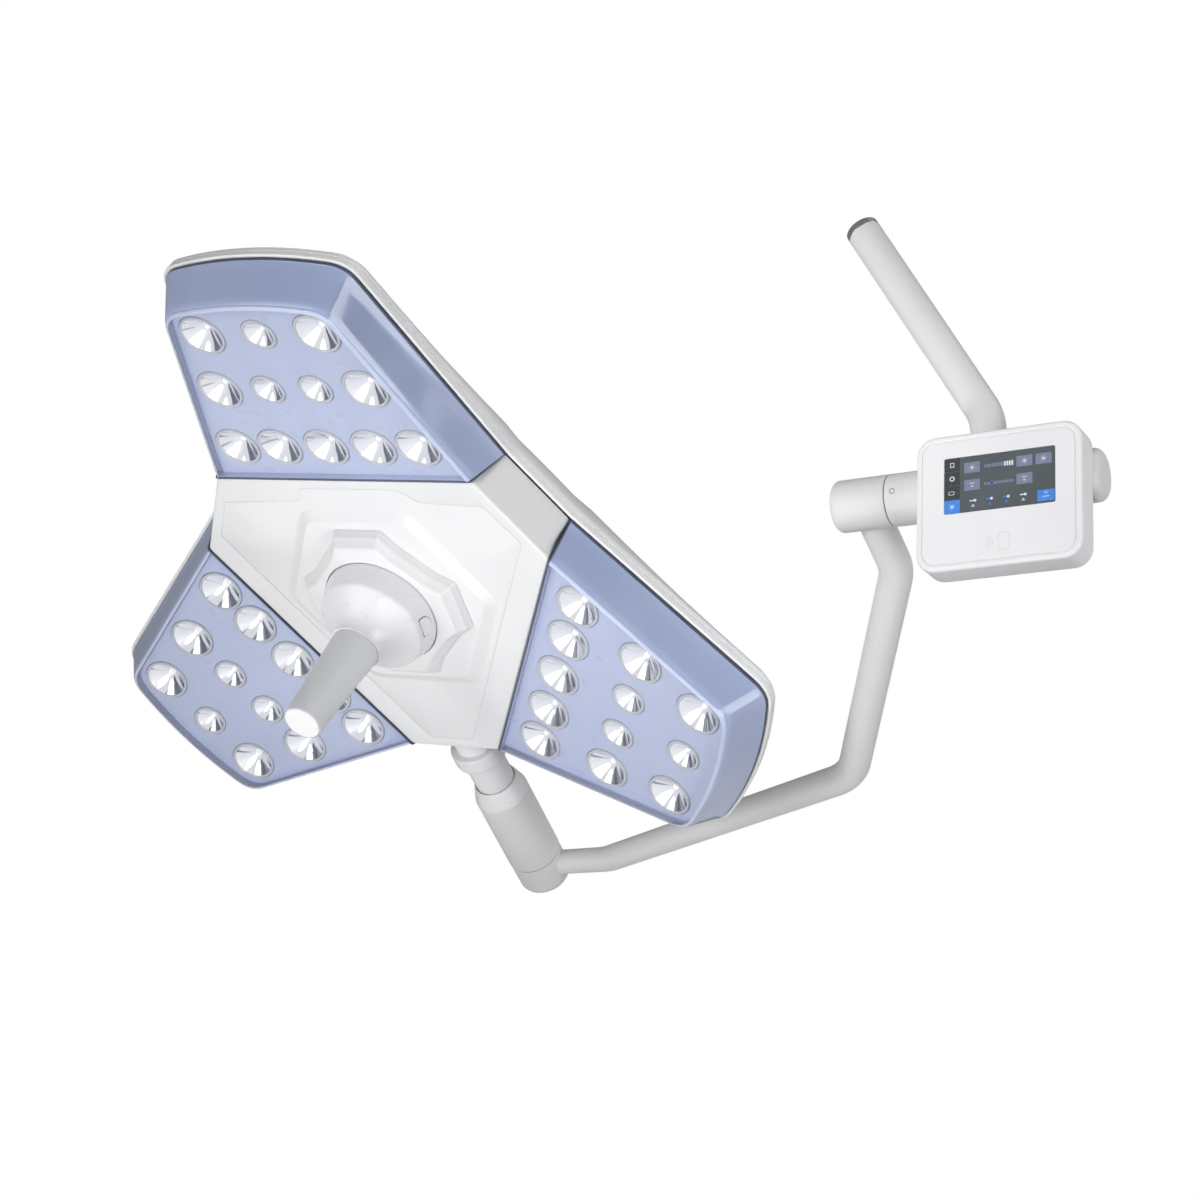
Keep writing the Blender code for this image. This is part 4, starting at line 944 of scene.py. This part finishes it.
def build_case():
    rings = []
    for amount, z in ((4.5, BACK), (2.2, BACK + 0.5), (0.8, BACK + 1.8), (0.1, BACK + 4), (0, BACK + 6),
                      (0, FRONT - 3.4), (0.12, FRONT - 2.2), (0.55, FRONT - 1.2), (1.3, FRONT - 0.4),
                      (2.3, FRONT), (4.4, FRONT), (4.75, FRONT - 0.15), (4.85, FRONT - 0.6),
                      (5.25, FRONT - 0.6)):
        rings.append([(x, y, z) for x, y in inset_box(amount)])
    bm = bmesh.new()
    add_loft(bm, rings, cap_start=True)
    piece("panel_case", finished(bm, "panel_case"), UPRIGHT, "fixed_arm", [panel_white],
          ["panel_housing"], 40)


def build_face():
    """Front plate with the screen's opening, and the dark glass in it."""
    rings = []
    for amount, z in ((5.3, FRONT - 1.2), (5.35, FRONT - 0.35), (5.7, FRONT - 0.06), (6.3, FRONT)):
        rings.append([(x, y, z) for x, y in inset_box(amount)])
    left, right, low, high = SCREEN
    hole = rounded_box(left, right, low, high, 1.6, 10)
    lip = rounded_box(left + 0.25, right - 0.25, low + 0.25, high - 0.25, 1.4, 10)
    rings += [[(x, y, FRONT) for x, y in hole], [(x, y, FRONT - 0.5) for x, y in lip]]
    bm = bmesh.new()
    add_loft(bm, rings)
    piece("panel_face", finished(bm, "panel_face"), UPRIGHT, "fixed_arm", [panel_white], ["panel_front"],
          40)
    glass = rounded_box(left + 0.3, right - 0.3, low + 0.3, high - 0.3, 1.3, 6)
    plate("panel_display", glass, [], FRONT - 2, GLASS, UPRIGHT, "fixed_arm", screen_ground,
          ["panel_screen"])


class Display:
    """Collects flat marks on the screen, drawn in fractions of its width and height."""

    def __init__(self):
        self.marks = {}

    def place(self, x, y):
        left, right, low, high = SCREEN
        return left + (right - left) * x, high - (high - low) * y

    def shape(self, material, outline, level):
        self.marks.setdefault(material.name, (material, []))[1].append((outline, level))

    def box(self, material, x, y, wide, tall, radius=0.5, level=0.06):
        cx, cy = self.place(x, y)
        self.shape(material, rounded_box(cx - wide / 2, cx + wide / 2, cy - tall / 2, cy + tall / 2,
                                         radius, 4), level)

    def disc(self, material, x, y, radius, dx=0.0, level=0.12):
        cx, cy = self.place(x, y)
        self.shape(material, circle(radius, 24, (cx + dx, cy)), level)

    def ray(self, material, x, y, angle, near, far, width=0.28, level=0.12):
        cx, cy = self.place(x, y)
        a = math.radians(angle)
        along, across = Vector((math.cos(a), math.sin(a))), Vector((-math.sin(a), math.cos(a)))
        corners = [along * near - across * width / 2, along * far - across * width / 2,
                   along * far + across * width / 2, along * near + across * width / 2]
        self.shape(material, [(cx + c.x, cy + c.y) for c in corners], level)

    def sun(self, material, x, y, size):
        self.disc(material, x, y, size * 0.38)
        for i in range(8):
            self.ray(material, x, y, 45 * i, size * 0.55, size * 0.95)

    def build(self):
        for name, (material, shapes) in self.marks.items():
            bm = bmesh.new()
            for outline, level in shapes:
                rings = [[(x, y, GLASS + z) for x, y in outline] for z in (level - MARK_THICK, level)]
                add_loft(bm, rings, cap_start=True, cap_end=True)
            piece("display_" + name, finished(bm, "display_" + name), UPRIGHT, "fixed_arm", [material])


def build_display():
    show = Display()
    for row, y in enumerate((0.125, 0.375, 0.625, 0.875)):
        show.box(ui_blue if row == 3 else ui_dark, 0.075, y, 12.2, 10.6, 0.3)
    show.box(ui_white, 0.075, 0.13, 3.2, 3.6, 0.4, 0.12)
    show.box(ui_dark, 0.075, 0.13, 2.2, 2.6, 0.3, 0.18)
    show.disc(ui_white, 0.075, 0.375, 2.0)
    show.disc(ui_dark, 0.075, 0.375, 1.2, level=0.18)
    show.box(ui_white, 0.07, 0.63, 4.4, 2.8, 0.3, 0.12)
    show.box(ui_dark, 0.07, 0.63, 3.6, 2.0, 0.2, 0.18)
    show.sun(ui_white, 0.075, 0.87, 2.6)
    for x, y in ((0.255, 0.21), (0.725, 0.21), (0.895, 0.21), (0.255, 0.52), (0.725, 0.52)):
        show.box(ui_slate, x, y, 12.2, 8.4, 0.5)
        if y < 0.3:
            show.sun(ui_white, x, y, 2.5)
        else:
            show.box(ui_white, x, y - 0.03, 4.2, 0.5, 0.2, 0.12)
            for i in (-1, 0, 1):
                show.ray(ui_white, x, y, 270 + i * 28, 0.2, 2.1)
    for i in range(12):
        share = i / 11
        tall = 2.4 + 1.5 * share
        show.box(ui_white if i > 7 else ui_slate, 0.375 + 0.022 * i, 0.215, 1.3, tall, 0.2)
        show.box(ui_slate, 0.375 + 0.022 * i, 0.53, 1.3, 2.2, 0.2)
    show.disc(ui_blue, 0.435, 0.53, 1.6, level=0.16)
    show.disc(ui_dark, 0.435, 0.53, 1.0, level=0.2)
    for x, material in ((0.265, ui_white), (0.415, ui_blue), (0.565, ui_blue), (0.715, ui_white)):
        show.box(material, x, 0.80, 5.4, 0.9, 0.4, 0.12)
        show.disc(ui_white, x, 0.80, 1.1, dx=1.4, level=0.16)
        for i in (-1, 0, 1):
            show.ray(material, x, 0.86, 270 + i * 30, 0.3, 2.6, 0.4)
    show.box(ui_blue, 0.915, 0.86, 13.0, 8.6, 0.3)
    for i in (-1, 0, 1):
        show.ray(ui_white, 0.915, 0.83, 90 + i * 50, 0.2, 2.4)
    show.box(ui_white, 0.915, 0.88, 5.2, 0.5, 0.2, 0.12)
    show.build()


def build_touch_mark():
    """Faint card-reader symbol printed under the screen."""
    bm = bmesh.new()
    z = FRONT + 0.02
    outer = rounded_box(567.5, 576, -66, -52.5, 1.2, 5)
    inner = rounded_box(568.0, 575.5, -65.5, -53, 0.9, 5)
    add_loft(bm, [[(x, y, z) for x, y in outer], [(x, y, z) for x, y in inner]])
    angles = [math.radians(140 + 80 * i / 12) for i in range(13)]
    for radius in (3.0, 5.2, 7.4):
        arcs = [[(566 + r * math.cos(a), -59.2 + r * math.sin(a), z) for a in angles]
                for r in (radius + 0.25, radius - 0.25)]
        add_loft(bm, arcs, open_loop=True)
    piece("panel_touch_mark", finished(bm, "panel_touch_mark"), UPRIGHT, "fixed_arm", [print_grey])


build_case()
build_face()
build_display()
build_touch_mark()


# ---------------------------------------------------------------- CAD pieces left in view

INSIDE = {"steel": steel, "aluminium": aluminium, "bronze": bronze, "board_green": board_green,
          "seal_grey": seal_rubber, "shell_white": shell_white, "arm_white": arm_white,
          "handle_white": handle_white, "trim_grey": trim_grey, "grip_grey": grip_grey,
          "panel_white": panel_white, "cover_blue": cover_blue, "mask_blue": mask_blue, "chrome": chrome,
          "screen_black": screen_ground}
for part in frame["record"]["subparts"]:
    node = frame["nodes"][part["node"]]
    node.data.materials.clear()
    node.data.materials.append(INSIDE[part["material_slot"]])


# ---------------------------------------------------------------- stage and light

OBJECT_MIDDLE = (-0.4, 0, -0.25)
HEAD_MIDDLE = (-0.46, -0.04, -0.30)
FLOOR_Z = -2.3
FLOOR_HALF = 9

def stage_plane(name, corners, colour, glow=0):
    shader = Shader(name, colour, 0.9)
    shader.tint(2, [c * 0.985 for c in colour])
    shader.set("Emission Color", (*colour, 1)).set("Emission Strength", glow)
    bm = bmesh.new()
    bm.faces.new([bm.verts.new(c) for c in corners])
    mesh = bpy.data.meshes.new(name)
    bm.to_mesh(mesh)
    bm.free()
    mesh.materials.append(shader.done())
    obj = bpy.data.objects.new(name, mesh)
    bpy.context.scene.collection.objects.link(obj)
    return obj


def aimed(name, light, location, target):
    """Put a light in the scene, pointing at a target."""
    obj = bpy.data.objects.new(name, light)
    bpy.context.scene.collection.objects.link(obj)
    obj.location = location
    obj.rotation_euler = (Vector(target) - Vector(location)).to_track_quat("-Z", "Y").to_euler()
    return obj


def area_light(name, location, power, target=OBJECT_MIDDLE, size=1.8):
    light = bpy.data.lights.new(name, "AREA")
    light.shape = "DISK"
    light.size = size
    light.energy = power
    return aimed(name, light, location, target)


def spot_light(name, location, target, spread, power):
    """Soft-edged lamp that lights one part of the object."""
    light = bpy.data.lights.new(name, "SPOT")
    light.energy = power
    light.spot_size = math.radians(spread)
    light.spot_blend = 0.8
    light.shadow_soft_size = 0.4
    aimed(name, light, location, target).visible_glossy = False


def build_world():
    """White studio seen by the camera; softer light, dimmer from below, on the object."""
    world = bpy.data.worlds.new("studio")
    bpy.context.scene.world = world
    world.use_nodes = True
    tree = world.node_tree
    back = tree.nodes["Background"]
    coordinates = tree.nodes.new("ShaderNodeTexCoord")
    split = tree.nodes.new("ShaderNodeSeparateXYZ")
    ramp = tree.nodes.new("ShaderNodeValToRGB")
    spread = tree.nodes.new("ShaderNodeMapRange")
    spread.inputs["From Min"].default_value = -1
    spread.inputs["From Max"].default_value = 1
    tree.links.new(coordinates.outputs["Generated"], split.inputs["Vector"])
    tree.links.new(split.outputs["Z"], spread.inputs["Value"])
    tree.links.new(spread.outputs["Result"], ramp.inputs["Fac"])
    tree.links.new(ramp.outputs["Color"], back.inputs["Color"])
    ramp.color_ramp.elements[0].position = 0.25
    ramp.color_ramp.elements[0].color = (0.12, 0.12, 0.13, 1)
    ramp.color_ramp.elements[1].position = 0.50
    ramp.color_ramp.elements[1].color = (1, 1, 1, 1)
    back.inputs["Strength"].default_value = 0.27
    shown = tree.nodes.new("ShaderNodeBackground")
    shown.inputs["Color"].default_value = (1, 1, 1, 1)
    shown.inputs["Strength"].default_value = 1.0
    path = tree.nodes.new("ShaderNodeLightPath")
    mix = tree.nodes.new("ShaderNodeMixShader")
    tree.links.new(path.outputs["Is Camera Ray"], mix.inputs[0])
    tree.links.new(back.outputs["Background"], mix.inputs[1])
    tree.links.new(shown.outputs["Background"], mix.inputs[2])
    tree.links.new(mix.outputs["Shader"], tree.nodes["World Output"].inputs["Surface"])


# The floor's own glow keeps it pale. It shows in reflections and adds no diffuse light.
floor = stage_plane("floor", [(x * FLOOR_HALF, y * FLOOR_HALF, FLOOR_Z)
                              for x, y in ((-1, -1), (1, -1), (1, 1), (-1, 1))],
                    (0.86, 0.86, 0.865), glow=0.7)
floor.visible_diffuse = False
# A dark card on the left, seen only in reflections: it gives the cups their dark wedge.
card = stage_plane("reflection_card", [(-1.46, y, z) for y, z in
                                       ((-0.80, -0.70), (-0.80, -0.16), (-0.22, -0.16), (-0.22, -0.70))],
                   (0.02, 0.02, 0.02))
card.visible_camera = card.visible_diffuse = card.visible_shadow = False
build_world()
area_light("key", (-2.0, -2.2, 1.6), 5).visible_glossy = False
area_light("front", (-1.6, -2.9, -0.8), 12)
area_light("top", (2.0, 0.3, 1.6), 14)
area_light("right", (2.3, -0.7, -1.1), 32)
spot_light("head_front", (-1.15, -1.3, -2.1), HEAD_MIDDLE, 33, 160)
spot_light("petal_right", (1.2, -0.2, -2.1), (-0.26, 0.06, -0.36), 15, 110)
spot_light("panel_left", (-0.9, -2.8, -0.4), (0.12, -0.02, -0.2), 19, 240)
area_light("cup_light", (-0.01, -1.21, -1.78), 9, (-0.45, 0, -0.25), 1.4).visible_diffuse = False
